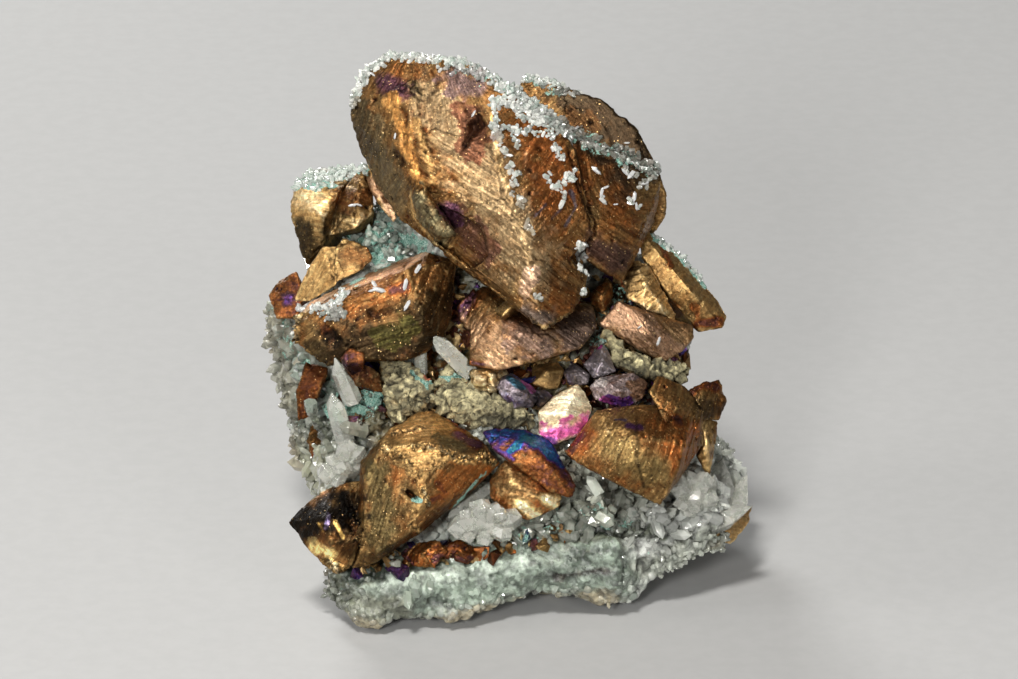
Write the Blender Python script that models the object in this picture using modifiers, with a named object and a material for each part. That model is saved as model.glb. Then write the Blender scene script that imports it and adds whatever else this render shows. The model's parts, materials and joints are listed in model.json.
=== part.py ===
"""Peacock ore: tarnished chalcopyrite crystals grown on a mound of quartz.

The crystals that show from the front are laid out on a board that leans back from
the front edge of the specimen. A place on the board is (across, up, out) in
millimetres: across to the right, up along the board, out towards the viewer.
The origin of the finished part is the middle of the flat spot it rests on, +Z up.
"""

import math

import bmesh
import bpy
from mathutils import Euler, Matrix, Vector, noise

MM = 0.001
BOARD_LEAN = math.radians(22)
BOARD_FOOT_Y = -25.0
CRYSTAL_GAP = 0.3
SOCKET_GAP = 0.35
MATRIX_VOXEL = 1.1
MATRIX_TRIANGLES = 3600
SMOOTH_STEPS = 9
LUMP_SIZE = 4.4
LUMP_RISE = 1.3
GRAIN_SIZE = 2.0
GRAIN_RISE = 0.45
SWELL_SIZE = 11.0
SWELL_RISE = 1.6
LUMP_SUBDIVISIONS = 4
NEEDLE_LENGTH = 0.00002
TIP_CUT = 0.12
TIP_CUT_STEP = 0.05
QUARTZ_SIDES = 6
QUARTZ_FIRST_SIDE = 15
QUARTZ_FLATNESS = 0.86
QUARTZ_TAPER = 0.94
QUARTZ_POINT_LENGTH = 1.6
QUARTZ_SHOULDER_STEP = 0.25
TETRAHEDRON = [(1, 1, 1), (1, -1, -1), (-1, 1, -1), (-1, -1, 1)]
TETRAHEDRON_EDGE = 2 * math.sqrt(2)
PART_NAME = "peacock_ore"

# Colour, roughness and metallic value of each finish.
FINISHES = {
    "bronze_chalcopyrite": ((0.36, 0.22, 0.09), 0.38, 0.9),
    "gold_chalcopyrite": ((0.72, 0.50, 0.20), 0.32, 0.95),
    "peacock_chalcopyrite": ((0.16, 0.14, 0.34), 0.30, 0.9),
    "olive_chalcopyrite": ((0.34, 0.31, 0.17), 0.70, 0.3),
    "clear_quartz": ((0.82, 0.84, 0.84), 0.12, 0.0),
    "quartz": ((0.74, 0.76, 0.72), 0.45, 0.0),
}

# Each list of corners is one crystal, the flat-faced solid round them. Crystals
# under one name have grown through each other and are one solid.
FRONT_CRYSTALS = {
    "crown_crystals": ("bronze_chalcopyrite", [
        [(-1.6, 69.6, 3.4), (-2.2, 66.4, 4.8), (-1.6, 62, 5.9), (-0.4, 57, 6.8), (0.4, 53.5, 7.2),
         (2.4, 51, 7.1), (3.3, 48, 6.6), (3.5, 43.8, 5.8), (4.8, 39, 4.4), (3, 40.6, 4.6),
         (0.6, 44.1, 4.4),
         (-2, 45.6, 3.8), (-5, 47.8, 2.8), (-9.3, 51, 1), (-14, 53.4, -2), (-17.4, 58.2, -4),
         (-19.3, 62.5, -4.8),
         (-20.5, 67, -4.4), (-20, 70.4, -4.8), (-18.4, 73.2, -4.4), (-15.5, 74.9, -3.4),
         (-12, 74.7, -1.8),
         (-6, 74, 0.6), (-3, 72.3, 1.8), (0.5, 70, 3), (-14.8, 69, 0.6), (-12.2, 63, 2.6),
         (-11.8, 58.5, 3),
         (6, 66.6, 1.4), (8.4, 62.6, 2.4), (9.2, 58.4, 3), (10.2, 55.8, 3), (11.1, 53.2, 2.6),
         (10.4, 50.8, 2.4), (10, 46.6, 1.8), (9.9, 44.4, 2), (8.2, 41, 3), (-13, 69, -13),
         (-3, 68, -16),
         (10, 60, -16), (-12, 57, -15), (4, 47, -13), (9, 50, -9)],
        [(8, 64, 0), (12, 62.2, -1.4), (16, 61, -3), (18.8, 59.7, -4.4), (20, 58.7, -5.4),
         (19.4, 56.5, -6),
         (17.9, 54, -4.4), (17.2, 51.5, -5.6), (16.2, 49.4, -4), (14.8, 45.2, -3.6), (13.7, 51.7, -1.2),
         (10.2, 48.2, -1.6), (11.2, 52.5, 0), (9.4, 57.8, 1.2), (8.6, 61, 1.2), (17, 56, -14),
         (13, 49, -10),
         (19, 53, -10)],
        [(-12.7, 57.6, 1.8), (-12.2, 58.4, 2.4), (-11, 58, 3.6), (-10.2, 56.2, 4.6), (-8.2, 53, 5),
         (-6.9, 51.4, 4.8), (-9.2, 50.8, 3), (-12.3, 54, 2), (-12.9, 56.2, 1.6), (-11.8, 56.8, 4),
         (-9, 51.6, 4.8),
         (-8, 54, -2)],
        [(1, 70.8, -11), (2.8, 72.6, -12), (6.6, 71.2, -11), (12.6, 69, -10), (16.5, 65.8, -9.6),
         (19.4, 60.6, -8.6), (20.8, 56.4, -9), (20.5, 54, -10), (19.3, 52, -11), (10, 60, -8.4),
         (3, 71, -17), (9, 69, -20), (15.5, 63.5, -21), (19, 56, -19.5), (15, 48.5, -19), (6, 56, -24),
         (9, 47, -22), (4, 50, -20), (-4, 60, -18)],
    ]),
    "shield_crystal": ("bronze_chalcopyrite", [
        [(-4.5, 43.5, -2.6), (-5, 34.6, 0), (-1.2, 33.9, 1.2), (3, 34.9, 1.4), (6.6, 36.1, 1),
         (9.4, 36.8, 0.4),
         (11.5, 39.5, -1), (11, 42, -2.6), (-3.4, 44.6, -3), (1.5, 38.5, 2.6), (-3.5, 42, -10),
         (-3, 35, -9),
         (8, 36.4, -10), (9, 41, -10)],
        [(-6.6, 42, -3), (-4.4, 44.4, -3.6), (-5, 38.8, -2.6), (-6.2, 40.2, -2.6), (-3.8, 41, -1.6),
         (-4, 41, -8),
         (-2.5, 38, -5)],
        [(-1.6, 41.6, 0.2), (1.2, 43.8, 0.2), (0.6, 42.2, 2), (-0.8, 40.8, 2.2), (3, 42, -1),
         (0.6, 40, -1),
         (0, 43, -4)],
    ]),
    "barrel_crystal": ("bronze_chalcopyrite", [
        [(-22.3, 40, 2.6), (-19.5, 41.8, 2.8), (-16, 44.2, 2.6), (-13, 46.8, 1.8), (-25, 42, 0.2),
         (-22, 43.9, -0.2), (-18, 45.8, -0.6), (-14, 47.4, -1.2), (-10.3, 49, -2.2), (-21.6, 37.6, 3.4),
         (-18.5, 35.2, 3), (-13, 35.2, 2.4), (-11.2, 42, 2.8), (-11, 38, 2.4), (-6.9, 48, -1.8),
         (-7.3, 41, -0.8), (-8.4, 38, -0.6), (-10.6, 36.2, 1), (-27.7, 40.6, -0.4), (-26.2, 40.2, 0.8),
         (-27.9, 37.8, -0.2), (-26.3, 36.3, 0.8), (-23.6, 34.4, 1.6), (-25.7, 42.6, -4),
         (-18, 46.6, -5.2),
         (-11, 49.2, -6), (-7.6, 48.2, -7), (-24, 38, -9), (-14, 39, -12), (-9, 41, -10)],
    ]),
    "left_summit_crystals": ("gold_chalcopyrite", [
        [(-28.7, 56, -15), (-28, 58.3, -14.4), (-22, 57.6, -11.6), (-24.2, 53.8, -10),
         (-25.6, 55.2, -10.8),
         (-28.6, 54, -14), (-26.8, 48, -12.6), (-24.4, 50.2, -11), (-26, 60.2, -18), (-20, 60.6, -18),
         (-25, 52, -22), (-20, 54, -21), (-23, 46, -18)],
        [(-22.3, 56.4, -12), (-20.6, 58.8, -12.8), (-18.8, 60.9, -13.2), (-17.9, 58.4, -12),
         (-17.8, 54.4, -10.8),
         (-20, 52.4, -10), (-23.8, 51.2, -11.6), (-20.3, 56, -10), (-19, 60.4, -18), (-18, 52, -18)],
        [(-18.9, 60.8, -10.6), (-17.9, 60.6, -9.6), (-17.4, 57.8, -9), (-14.5, 53.9, -8.2),
         (-15, 53.2, -8.4),
         (-17.4, 56, -8.8), (-16.8, 56.8, -12.5), (-18.4, 58, -13)],
    ]),
    "tan_crystals": ("gold_chalcopyrite", [
        [(-28, 43, -10.4), (-26.3, 47, -10), (-24.3, 50, -9.6), (-22.2, 50, -9.2), (-22.5, 45, -7),
         (-26, 42.8, -9), (-26, 46, -14.5), (-23, 46, -15)],
        [(-22.6, 49.8, -8.6), (-21.6, 51.1, -9.4), (-18.4, 50, -8.8), (-17.6, 48.4, -8),
         (-19, 47, -7.6),
         (-22.8, 45.2, -7.4), (-20, 47.5, -15)],
    ]),
    "purple_side_crystal": ("peacock_chalcopyrite", [
        [(-31.6, 43.6, -18), (-30.4, 45.6, -18), (-28, 46.8, -17), (-27.2, 43.6, -15.6),
         (-28, 40.6, -15),
         (-30.6, 40.6, -16), (-29, 43, -24), (-26, 42, -21)],
    ]),
    "left_blade_crystal": ("bronze_chalcopyrite", [
        [(-27.4, 27.2, -4), (-27.6, 31, -3.4), (-26.4, 34.8, -4), (-23.4, 34, -3), (-24.4, 31.4, -2.2),
         (-26, 27.5, -3.6), (-25, 32, -9)],
    ]),
    "red_crystals": ("peacock_chalcopyrite", [
        [(-21.3, 34.4, 1.8), (-19, 34.8, 2.2), (-16.6, 33.4, 1.6), (-16.3, 31, 0.8), (-19.6, 31.8, 3),
         (-19, 33, -6), (-17.5, 31, -5)],
        [(-21.8, 35.4, 3.6), (-20.6, 36.6, 4), (-18.6, 36, 4), (-18.8, 35, 4.4), (-20.8, 34.6, 4.4),
         (-20.4, 33, 2), (-19, 33.4, 1.6)],
    ]),
    "corner_crystals": ("bronze_chalcopyrite", [
        [(-19, 22, 2.2), (-15.2, 26.2, 1.6), (-11.6, 28.2, 0.8), (-10, 28.5, 0.2), (-5.6, 26.1, 0.6),
         (-3.2, 24.3, 1), (-1.1, 21.8, 1.4), (-16.4, 23.6, 4.6), (-13.6, 24, 5.8), (-9, 23.8, 6.8),
         (-7.4, 22.8, 6.6), (-4.4, 21.9, 4.6), (-10.6, 20, 7.6), (-11.2, 16.3, 7.2), (-12.8, 12.9, 6.2),
         (-5.4, 18.6, 4.4), (-16.8, 10.2, 5), (-5, 17.9, 2.6), (-11.5, 12.8, 3.6), (-17.2, 8.9, 3.2),
         (-20.2, 8.1, 2), (-18.6, 20, 4.4), (-18.5, 14.5, 5), (-19.2, 10, 4), (-15, 23, -8),
         (-6, 21, -7),
         (-12, 15, -7), (-18, 15, -6)],
        [(-28.5, 14, 0), (-27, 15.8, 0), (-24.5, 17.7, 0.8), (-22, 19.1, 1), (-19.2, 19.5, 1),
         (-19, 12, 4.4),
         (-20.5, 8.1, 3), (-22, 7.3, 2.4), (-23.2, 7.9, 2), (-26, 10.9, 1.6), (-23.4, 14.6, 4.8),
         (-22.8, 11.6, 4.8), (-24, 16, -7), (-21, 12, -5)],
    ]),
    "orange_crystals": ("bronze_chalcopyrite", [
        [(-13.9, 9.8, 1), (-11.6, 11.5, 1.6), (-9.2, 11.8, 1.8), (-7.8, 10.4, 2.2), (-9.5, 8.2, 2.6),
         (-12.4, 8.4, 2.2), (-10.8, 10, 3.2), (-11, 9.6, -5)],
        [(-9, 10.8, 1.2), (-6.5, 11.7, 1.4), (-4.9, 11.2, 1.2), (-3.8, 9.7, 0.8), (-5, 8.7, 1.2),
         (-8.2, 9.4, 1.8),
         (-6, 10.2, 2.6), (-6, 9.8, -5)],
    ]),
    "peacock_crystals": ("peacock_chalcopyrite", [
        [(-3.2, 25.7, -0.4), (-1.6, 26.2, -0.8), (2.4, 25.9, -0.6), (5.3, 24.5, 0), (6.3, 22.8, 1),
         (8.7, 18.8, 1), (8.2, 17.4, 1.6), (5.5, 18.2, 2.4), (0.8, 21.8, 3), (-1.8, 23.6, 1.8),
         (2.2, 24.2, 3.2), (5, 21.6, 3.2), (0.4, 24, -7), (5, 21, -7)],
        [(-2.3, 19.5, 0.6), (-0.4, 22.1, 1.2), (4, 19.4, 2), (6.9, 17.4, 1), (6.6, 16.2, 1),
         (2.6, 14.5, 1.6),
         (0, 15.4, 1.8), (-2.2, 17.4, 1.4), (0.6, 19.4, 3.2), (3.6, 17.4, 3.2), (0.6, 19, -6),
         (4, 17, -6)],
    ]),
    "right_front_crystals": ("bronze_chalcopyrite", [
        [(7.4, 23.2, 1.5), (9.5, 25.4, 1.2), (11.4, 28.4, 0.6), (12.8, 28.8, 0.4), (16.5, 28, 0),
         (20.4, 29.4, 0), (24, 28, -1.4), (25, 24, -2), (22.4, 20.2, 0.8), (19.7, 16.5, 2.4),
         (17.4, 18.4, 2.8),
         (12.4, 20.2, 3.2), (8.6, 22.2, 2.4), (12, 26, 2.8), (16.6, 25, 5), (16.8, 22, 5.2),
         (22.7, 24.4, 3.4),
         (22, 21, 3.4), (12, 25, -6), (20, 26, -8), (20, 20, -6)],
        [(19.5, 33, -2), (22.2, 32, -2.6), (24.2, 30.6, -3.2), (25.2, 28.6, -3), (25.3, 24, -2.6),
         (23.5, 24, 0.4),
         (20.5, 27, 2), (18.4, 31, 0), (22, 29, 0.6), (21, 30, -10), (24, 27, -9)],
        [(23.2, 31, -3.4), (25.6, 32, -4.6), (27.7, 32.5, -6), (27, 30.3, -4.6), (28.5, 29.8, -6),
         (27.7, 27.4, -6), (24.8, 27.4, -3), (24.8, 30.2, -2.8), (25, 28, -11)],
        [(25.1, 27.6, -4), (27.3, 27, -5.6), (27.2, 25.4, -5.6), (26.2, 19.9, -5), (24.8, 22.6, -4),
         (26, 24, -3.4), (25, 23, -9)],
    ]),
    "olive_crystals": ("olive_chalcopyrite", [
        [(-16.4, 35, -1), (-14.3, 35.2, -1.4), (-11.5, 33.4, -0.8), (-9.5, 31.6, 0), (-11, 29.6, 0.4),
         (-13, 28, 0), (-15, 26.9, -1.6), (-16, 30.6, 0), (-13, 31, 1.2), (-13, 32, -8), (-12, 29, -7)],
        [(-11.2, 30.2, 0.4), (-8, 31.6, 0), (-6, 32.4, -0.4), (-2.4, 30.4, -0.6), (0, 29, -0.4),
         (3.5, 28, -0.8), (3.5, 26.6, -1.4), (-4.6, 26.6, -0.8), (-9, 29, -0.4), (-5, 29.6, 1.4),
         (0.4, 27.8, 0.2), (-5, 29, -8), (0, 28, -8)],
        [(-9.2, 32, -0.8), (-7.6, 34.2, -1.4), (-6, 33.8, -1.4), (-5.3, 32.3, -1), (-7.6, 32.4, 0.6),
         (-7.4, 31, 0), (-7, 32, -7)],
    ]),
    "bright_crystal": ("gold_chalcopyrite", [
        [(4, 28.4, -0.4), (5.9, 29.2, -0.6), (6.2, 30.5, -0.8), (9, 31.9, -1.2), (9.9, 30.9, -1),
         (10.8, 28.8, -0.6), (10.2, 27, -0.2), (9, 25.4, 0.2), (6, 24.2, 0.4), (4.1, 25.6, 0),
         (7.4, 28, 1.4), (6, 29, -7), (9, 28, -7)],
    ]),
    "violet_crystals": ("peacock_chalcopyrite", [
        [(-1.5, 31.6, 0), (-0.6, 33.1, -0.6), (0.4, 33.4, -0.8), (3.3, 31.6, -1), (3.9, 30.4, -0.6),
         (3.2, 29, -0.4), (0.8, 28.8, 0.2), (-0.8, 30.2, 0.4), (1.6, 31, 1.6), (0.5, 32, -7),
         (3, 30.6, -7)],
        [(3, 31.2, -1.4), (4.7, 31.2, -1.6), (5.8, 30.3, -1.6), (5.6, 28.9, -1.2), (3.9, 29, -0.6),
         (4.2, 30, 0.2), (4.4, 30, -6)],
    ]),
    "pale_gold_crystal": ("gold_chalcopyrite", [
        [(-4.9, 33.6, -0.4), (-4.6, 31.8, 0), (-2.8, 31, 0.2), (-1.6, 31.2, 0), (0, 33.6, -1.4),
         (-2.4, 33.9, -1), (-3.3, 32.7, 1.2), (-3, 33, -7)],
    ]),
    "tan_cube_crystal": ("gold_chalcopyrite", [
        [(3.2, 34.2, -3.4), (4.5, 34.5, -3.6), (6.4, 34.8, -3.8), (7.3, 33.7, -3), (6.4, 31.5, -2.4),
         (5, 31.4, -1.8), (3.3, 32, -1.8), (5, 33.6, -1.8), (4, 34, -8), (6, 33, -8)],
    ]),
    "small_slate_crystal": ("peacock_chalcopyrite", [
        [(7.2, 33.4, -2.4), (8.6, 34.8, -3), (10.6, 33.2, -2), (10.4, 32, -1.6), (8, 31.9, -1.8),
         (8.8, 33.4, -0.8), (8.6, 33.6, -8)],
    ]),
    "upper_slate_crystal": ("peacock_chalcopyrite", [
        [(9.8, 34.6, -2.4), (12.2, 37.2, -3), (13.1, 36.3, -2.6), (14, 33.6, -1.4), (11.2, 32.8, -1),
         (12.2, 34.8, -0.4), (11.8, 34.6, -9)],
    ]),
    "lower_slate_crystal": ("peacock_chalcopyrite", [
        [(10.6, 31.6, -1), (11.8, 33, -0.8), (16.5, 33.4, -1.2), (18.2, 32.2, -1.6), (17.6, 30.3, -1),
         (15, 28.8, -0.6), (11.4, 30, -0.4), (14.5, 31.2, 1.2), (13, 31.4, -8), (16, 31, -8)],
    ]),
    "olive_ledge_crystals": ("olive_chalcopyrite", [
        [(12.9, 38.6, -4.6), (15, 37, -4), (15.8, 35.6, -3.6), (14.4, 34.2, -3.2), (13.7, 36.4, -2.8),
         (14, 36, -9)],
        [(14, 34.8, -3.4), (16.6, 35.9, -3.8), (20, 34.8, -4.6), (21.8, 33.8, -5), (23.4, 33.9, -5.4),
         (22.9, 32.2, -4.8), (18.9, 33.3, -2.8), (16, 33.9, -2.2), (16, 34.4, -9), (21, 33.6, -10)],
    ]),
    "right_shelf_crystal": ("bronze_chalcopyrite", [
        [(11.9, 39.8, -4.6), (14.4, 42.7, -5.2), (17.4, 41.3, -4.4), (21.5, 39.2, -4.4),
         (24.2, 39.4, -6),
         (24.2, 38, -5.8), (22.8, 36.4, -5.2), (20.4, 34.9, -4.8), (18, 36, -4.2), (15.8, 38, -3.8),
         (18.5, 38.6, -2.6), (15, 40, -12), (20, 38, -12)],
    ]),
    "under_lobe_crystal": ("bronze_chalcopyrite", [
        [(10.6, 42.8, -5.4), (11.2, 44.4, -5.8), (13.5, 45.6, -6.6), (13.7, 43.6, -6), (12.4, 41.2, -5),
         (12.4, 43.4, -4.4), (12, 44, -11), (13, 43, -11)],
    ]),
    "striated_crystal": ("gold_chalcopyrite", [
        [(16.5, 48.2, -8), (18.2, 47.6, -8), (19.6, 45.4, -7.6), (21.9, 41, -7), (21.5, 39.2, -6.2),
         (17.7, 42.1, -5), (15.6, 43.4, -5.6), (15, 45.4, -6.4), (18, 45, -5.2), (20, 42.2, -5.4),
         (17, 44, -12), (19, 42.5, -12)],
    ]),
    "long_pale_crystal": ("gold_chalcopyrite", [
        [(17.2, 52.1, -10.4), (18.6, 51.8, -11), (20.2, 50.8, -11.4), (22.6, 48.8, -11.6),
         (25.4, 45.8, -11.4),
         (27.4, 43, -11), (28.7, 40.8, -10.8), (28.2, 39.4, -10), (25.2, 38.8, -9.4), (23.8, 40.5, -9),
         (21.8, 42.6, -8.8), (20.6, 44.4, -8.6), (24, 44, -7.6), (17.6, 48.8, -9.6), (22, 46, -15.4),
         (25, 41, -14), (18, 49, -15.6), (21, 41, -14)],
    ]),
    "right_edge_crystal": ("gold_chalcopyrite", [
        [(27, 11.4, -9), (29.4, 10.8, -11), (30.6, 12.6, -12), (31.8, 13.8, -13), (32.3, 15.9, -13.4),
         (29, 14.4, -9.6), (29.4, 13, -17), (26, 13, -14)],
    ]),
    "left_quartz_crystal": ("clear_quartz", [
        [(-24.6, 20.4, 0), (-24, 21.9, -0.4), (-21.2, 22.8, 0.4), (-19.8, 24.2, 0), (-18.6, 24.4, -0.4),
         (-19.4, 20.2, 1.2), (-21, 19.7, 1.6), (-23.4, 18.8, 1), (-22, 21, 2.4), (-20.4, 22, 1.8),
         (-21, 21, -6)],
    ]),
    "front_quartz_crystal": ("clear_quartz", [
        [(-7.7, 13.1, 3), (-6.2, 15, 3), (-3.9, 16, 2.8), (-2, 16.6, 2.4), (0.4, 15.4, 2),
         (1.5, 14.2, 2),
         (-1.6, 12, 3.4), (-5.5, 12, 4), (-4.2, 14, 5.2), (-1.6, 14.2, 4.4), (-3, 14.6, -4),
         (0, 13.6, -4)],
    ]),
    "right_quartz_crystal": ("clear_quartz", [
        [(20.3, 17.6, -1.6), (21, 19, -2.4), (22.4, 20.2, -3), (24.6, 19.7, -3.4), (26.6, 17.3, -3.8),
         (26.4, 16.2, -3.6), (23, 15.6, -2), (23.4, 17.8, -0.8), (23, 17, -10), (25, 17, -10)],
    ]),
}

# Hollows cut into the first crystal under a name before the others join it.
HOLLOWS = {
    "crown_crystals": [
        [(-10.2, 56, 1.6), (-3.4, 52.7, 4.4), (-2.9, 51.4, 4.4), (-2.3, 48.6, 3.6), (-4.6, 46.6, 1),
         (-9.4, 50.4, -0.6), (-10.2, 56, 10), (-3.4, 52.7, 10), (-2.3, 48.6, 10), (-9.4, 50.4, 10)],
        [(8, 48.4, -3), (10.8, 51.4, -3), (11.4, 46.6, -3), (9.6, 46.2, -3), (8, 48.4, 8),
         (10.8, 51.4, 8),
         (11.4, 46.6, 8), (9.6, 46.2, 8)],
        [(-3.4, 68.8, 4.8), (-6, 62, 4.6), (-2.4, 65.6, 5.2), (-5.8, 66.2, 4.2), (-4.3, 65.3, 3.2),
         (-4.3, 65.3, 9)],
    ],
    "corner_crystals": [
        [(-13.9, 18.4, 9), (-12.8, 19.1, 9), (-11.2, 17, 9), (-12, 16.4, 9), (-12.9, 18, 5.2),
         (-12, 17.4, 5.2)],
    ],
}

# Crystals of the sides and back, cut-off tetrahedra: middle (across, back, height),
# edge length, and the turn about the three axes in degrees.
REAR_CRYSTALS = {
    "rear_left_crystals": ("bronze_chalcopyrite", [
        ((-12, 17, 22), 23, (20, -15, 35)),
        ((-3, 17.5, 28), 13, (65, 10, 80)),
    ]),
    "rear_right_crystals": ("peacock_chalcopyrite", [
        ((13, 16, 21), 17, (35, 25, -20)),
        ((18.5, 13, 26), 9, (10, 50, 15)),
    ]),
    "rear_low_crystal": ("gold_chalcopyrite", [((2.5, 22, 9.5), 12, (50, 5, 30))]),
    "rear_corner_crystal": ("bronze_chalcopyrite", [((-16, 18, 9.5), 10, (15, 40, 60))]),
    "left_low_crystals": ("bronze_chalcopyrite", [
        ((-23, 1.5, 16), 10, (30, 15, 100)),
        ((-21.8, -1.8, 12.6), 8, (70, 20, 10)),
    ]),
    "right_side_crystals": ("gold_chalcopyrite", [
        ((20.5, 6, 22), 10, (25, 60, 40)),
        ((22.5, 2.5, 17.5), 7.5, (5, 20, 80)),
    ]),
    "rear_high_crystal": ("peacock_chalcopyrite", [((-13, 14, 42), 10, (40, 30, 5))]),
}

# Clear six-sided quartz crystals: foot and tip on the board, and width.
QUARTZ_CRYSTALS = {
    "white_quartz_point": ((-5, 33.4, -1.6), (-10.3, 38.7, 1.2), 3.0),
    "small_quartz_point": ((-11.3, 33.4, -2), (-11.4, 37.2, 0.8), 1.7),
    "upper_smoky_quartz_point": ((-20.2, 29.8, -0.6), (-22.6, 35.8, 2.6), 3.0),
    "lower_smoky_quartz_point": ((-21.2, 24.8, -2), (-22.9, 31, 2.2), 3.2),
    "grey_quartz_point": ((-2.4, 18.4, -2.4), (-7.9, 14.6, 2.2), 2.6),
    "right_quartz_point": ((24.6, 13.2, -8.4), (32.1, 16, -7.4), 4.4),
    "upper_right_quartz_point": ((26, 16.2, -8.6), (27, 20.2, -5), 1.8),
    "far_right_quartz_point": ((26.6, 14, -13.5), (28.4, 22.3, -12.8), 5.2),
    "low_right_quartz_point": ((27.8, 12, -14.6), (31.6, 20, -13.6), 4.6),
}
REAR_QUARTZ_CRYSTALS = {
    "rear_left_quartz_point": ((-19, 8, 32), (-27.5, 17, 36), 4.6),
    "rear_top_quartz_point": ((2, 13, 38), (-3, 24, 45), 4.4),
    "rear_middle_quartz_point": ((3, 15, 17), (5.5, 27.5, 20.5), 5.4),
    "rear_side_quartz_point": ((1, 15, 17), (-2, 25.5, 16.5), 3.4),
    "rear_low_quartz_point": ((-7, 17, 7), (-10, 26.5, 10), 4.2),
    "rear_right_quartz_point": ((14, 13, 10), (19, 25, 12.5), 4.8),
}

# Short quartz crystals that are one with the matrix: foot, tip and width, on the board.
MATRIX_POINTS = [
    ((-17.6, 26, -3), (-16.8, 30, 1.4), 2.6),
    ((-24.5, 26, -5), (-26, 29.8, -1), 2.2),
    ((-19, 24, -3), (-19.6, 28, 1.4), 2.0),
    ((13, 13.4, -3), (11.2, 18.8, 2.2), 2.6),
    ((10, 17, -3), (9, 21.4, 1.2), 2.4),
    ((14.5, 15, -3), (17.4, 18.6, 1.4), 2.4),
    ((19, 12.6, -5), (19.4, 16.6, 0), 3.0),
    ((7, 20, -3), (6.9, 23.9, 0.6), 2.0),
    ((-13.4, 4.6, -3), (-14.6, 9, 2.8), 3.0),
    ((-7.5, 6, -3), (-7.2, 9.4, 2.6), 2.6),
    ((-4.5, 6.6, -3), (-2.8, 10.8, 2.4), 2.2),
    ((1, 9, -3), (2.4, 13.8, 1.8), 2.2),
    ((-6, 36, -5), (-5.6, 38.8, -2.6), 2.2),
    ((21.6, 18, -8), (24.6, 21, -5), 2.0),
    ((-22, 40, -15), (-28, 42, -10.6), 2.6),
    ((-23, 40, -20), (-30.6, 42, -24), 3.0),
    ((-17, 50, -14), (-18.6, 52.6, -9.6), 3.0),
    ((-14, 47, -12), (-14.4, 50.6, -8), 2.6),
]

# Round lumps of the quartz: middle (across, back, height) and the three radii.
MOUND_LUMPS = [
    ((0.5, 1, 8), (25, 21.5, 10)),
    ((-14, -9, 6), (11, 9, 8.5)),
    ((2, -9, 6.5), (15, 7.5, 8.5)),
    ((14, -4, 8), (11, 9, 8.5)),
    ((23, 0, 11), (7.5, 9, 6)),
    ((25.5, 5, 10), (5.4, 6, 5)),
    ((-17, 8, 8), (8.5, 12, 9)),
    ((4, 14, 9), (18, 10, 10.5)),
    ((-1, 1, 19), (21, 16.5, 13)),
    ((-18, -7, 18), (7.6, 8, 9.5)),
    ((-19.5, -2, 26), (7, 8, 7.5)),
    ((-17, 2, 20), (9, 12, 12)),
    ((-20, 6, 28), (8, 9, 9)),
    ((-24, 8, 15), (4.6, 6, 5)),
    ((-25.2, 10, 21), (5.4, 6, 7)),
    ((-26.5, 12, 28), (5.4, 6, 5.4)),
    ((0, 11, 26), (18, 9.5, 11)),
    ((-1, 4, 31), (18, 11.5, 11)),
    ((-18, 8, 34), (8.5, 8, 9)),
    ((-21, 12, 39), (5, 5, 6)),
    ((1, 8, 40), (13, 8, 10)),
    ((13, 4, 29), (10, 9.5, 9)),
    ((18, 6, 33), (5.4, 5.4, 5.4)),
    ((5, 13, 34), (12, 8, 12)),
    ((-11, 10, 41), (8, 6, 7)),
    ((12, -5, 15), (12, 7, 8)),
    ((21, -3, 14), (6, 6, 5)),
]

# Lumps along the lower front edge: middle on the board and radius.
RIM_LUMPS = [
    ((-20.7, 6.2, -3.6), 4.3),
    ((-17, 3.5, 0), 3.8),
    ((-12.5, 5.3, -0.8), 4.2),
    ((-7.5, 6.3, -1.6), 4.4),
    ((-2.5, 7.1, -2.6), 4.4),
    ((2.5, 8.2, -3.4), 4.6),
    ((7.5, 8.8, -4.4), 4.6),
    ((12.5, 9.1, -5.2), 4.6),
    ((15.4, 6.9, -6), 3.4),
    ((19.6, 11.2, -7.4), 4.8),
    ((24.6, 14, -9.6), 4.6),
]


def board(place):
    """A place on the leaning board as a point of the part, in metres."""
    across, up, out = place
    back = up * math.sin(BOARD_LEAN) - out * math.cos(BOARD_LEAN) + BOARD_FOOT_Y
    height = up * math.cos(BOARD_LEAN) + out * math.sin(BOARD_LEAN)
    return Vector((across, back, height)) * MM


def clear_scene():
    for old in list(bpy.data.objects):
        bpy.data.objects.remove(old)


def new_collection(name):
    collection = bpy.data.collections.new(name)
    bpy.context.scene.collection.children.link(collection)
    return collection


def make_finish(name):
    colour, roughness, metallic = FINISHES[name]
    material = bpy.data.materials.new(name)
    material.use_nodes = True
    shader = material.node_tree.nodes["Principled BSDF"]
    shader.inputs["Base Color"].default_value = (*colour, 1)
    shader.inputs["Roughness"].default_value = roughness
    shader.inputs["Metallic"].default_value = metallic
    material.diffuse_color = (*colour, 1)
    return material


def object_from(shape, name, collection):
    """Turns a bmesh into an object, with its faces pointing out."""
    bmesh.ops.recalc_face_normals(shape, faces=shape.faces)
    mesh = bpy.data.meshes.new(name)
    shape.to_mesh(mesh)
    shape.free()
    made = bpy.data.objects.new(name, mesh)
    collection.objects.link(made)
    return made


def apply_modifiers(target):
    """Replaces an object's mesh by the one its modifiers give."""
    graph = bpy.context.evaluated_depsgraph_get()
    mesh = bpy.data.meshes.new_from_object(target.evaluated_get(graph))
    target.modifiers.clear()
    target.data = mesh


def boolean(target, tool, operation):
    """Joins the tool to the target, or cuts the target with it, and drops the tool."""
    change = target.modifiers.new(operation.lower(), "BOOLEAN")
    change.object = tool
    change.operation = operation
    change.solver = "EXACT"
    apply_modifiers(target)
    bpy.data.objects.remove(tool)


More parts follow.
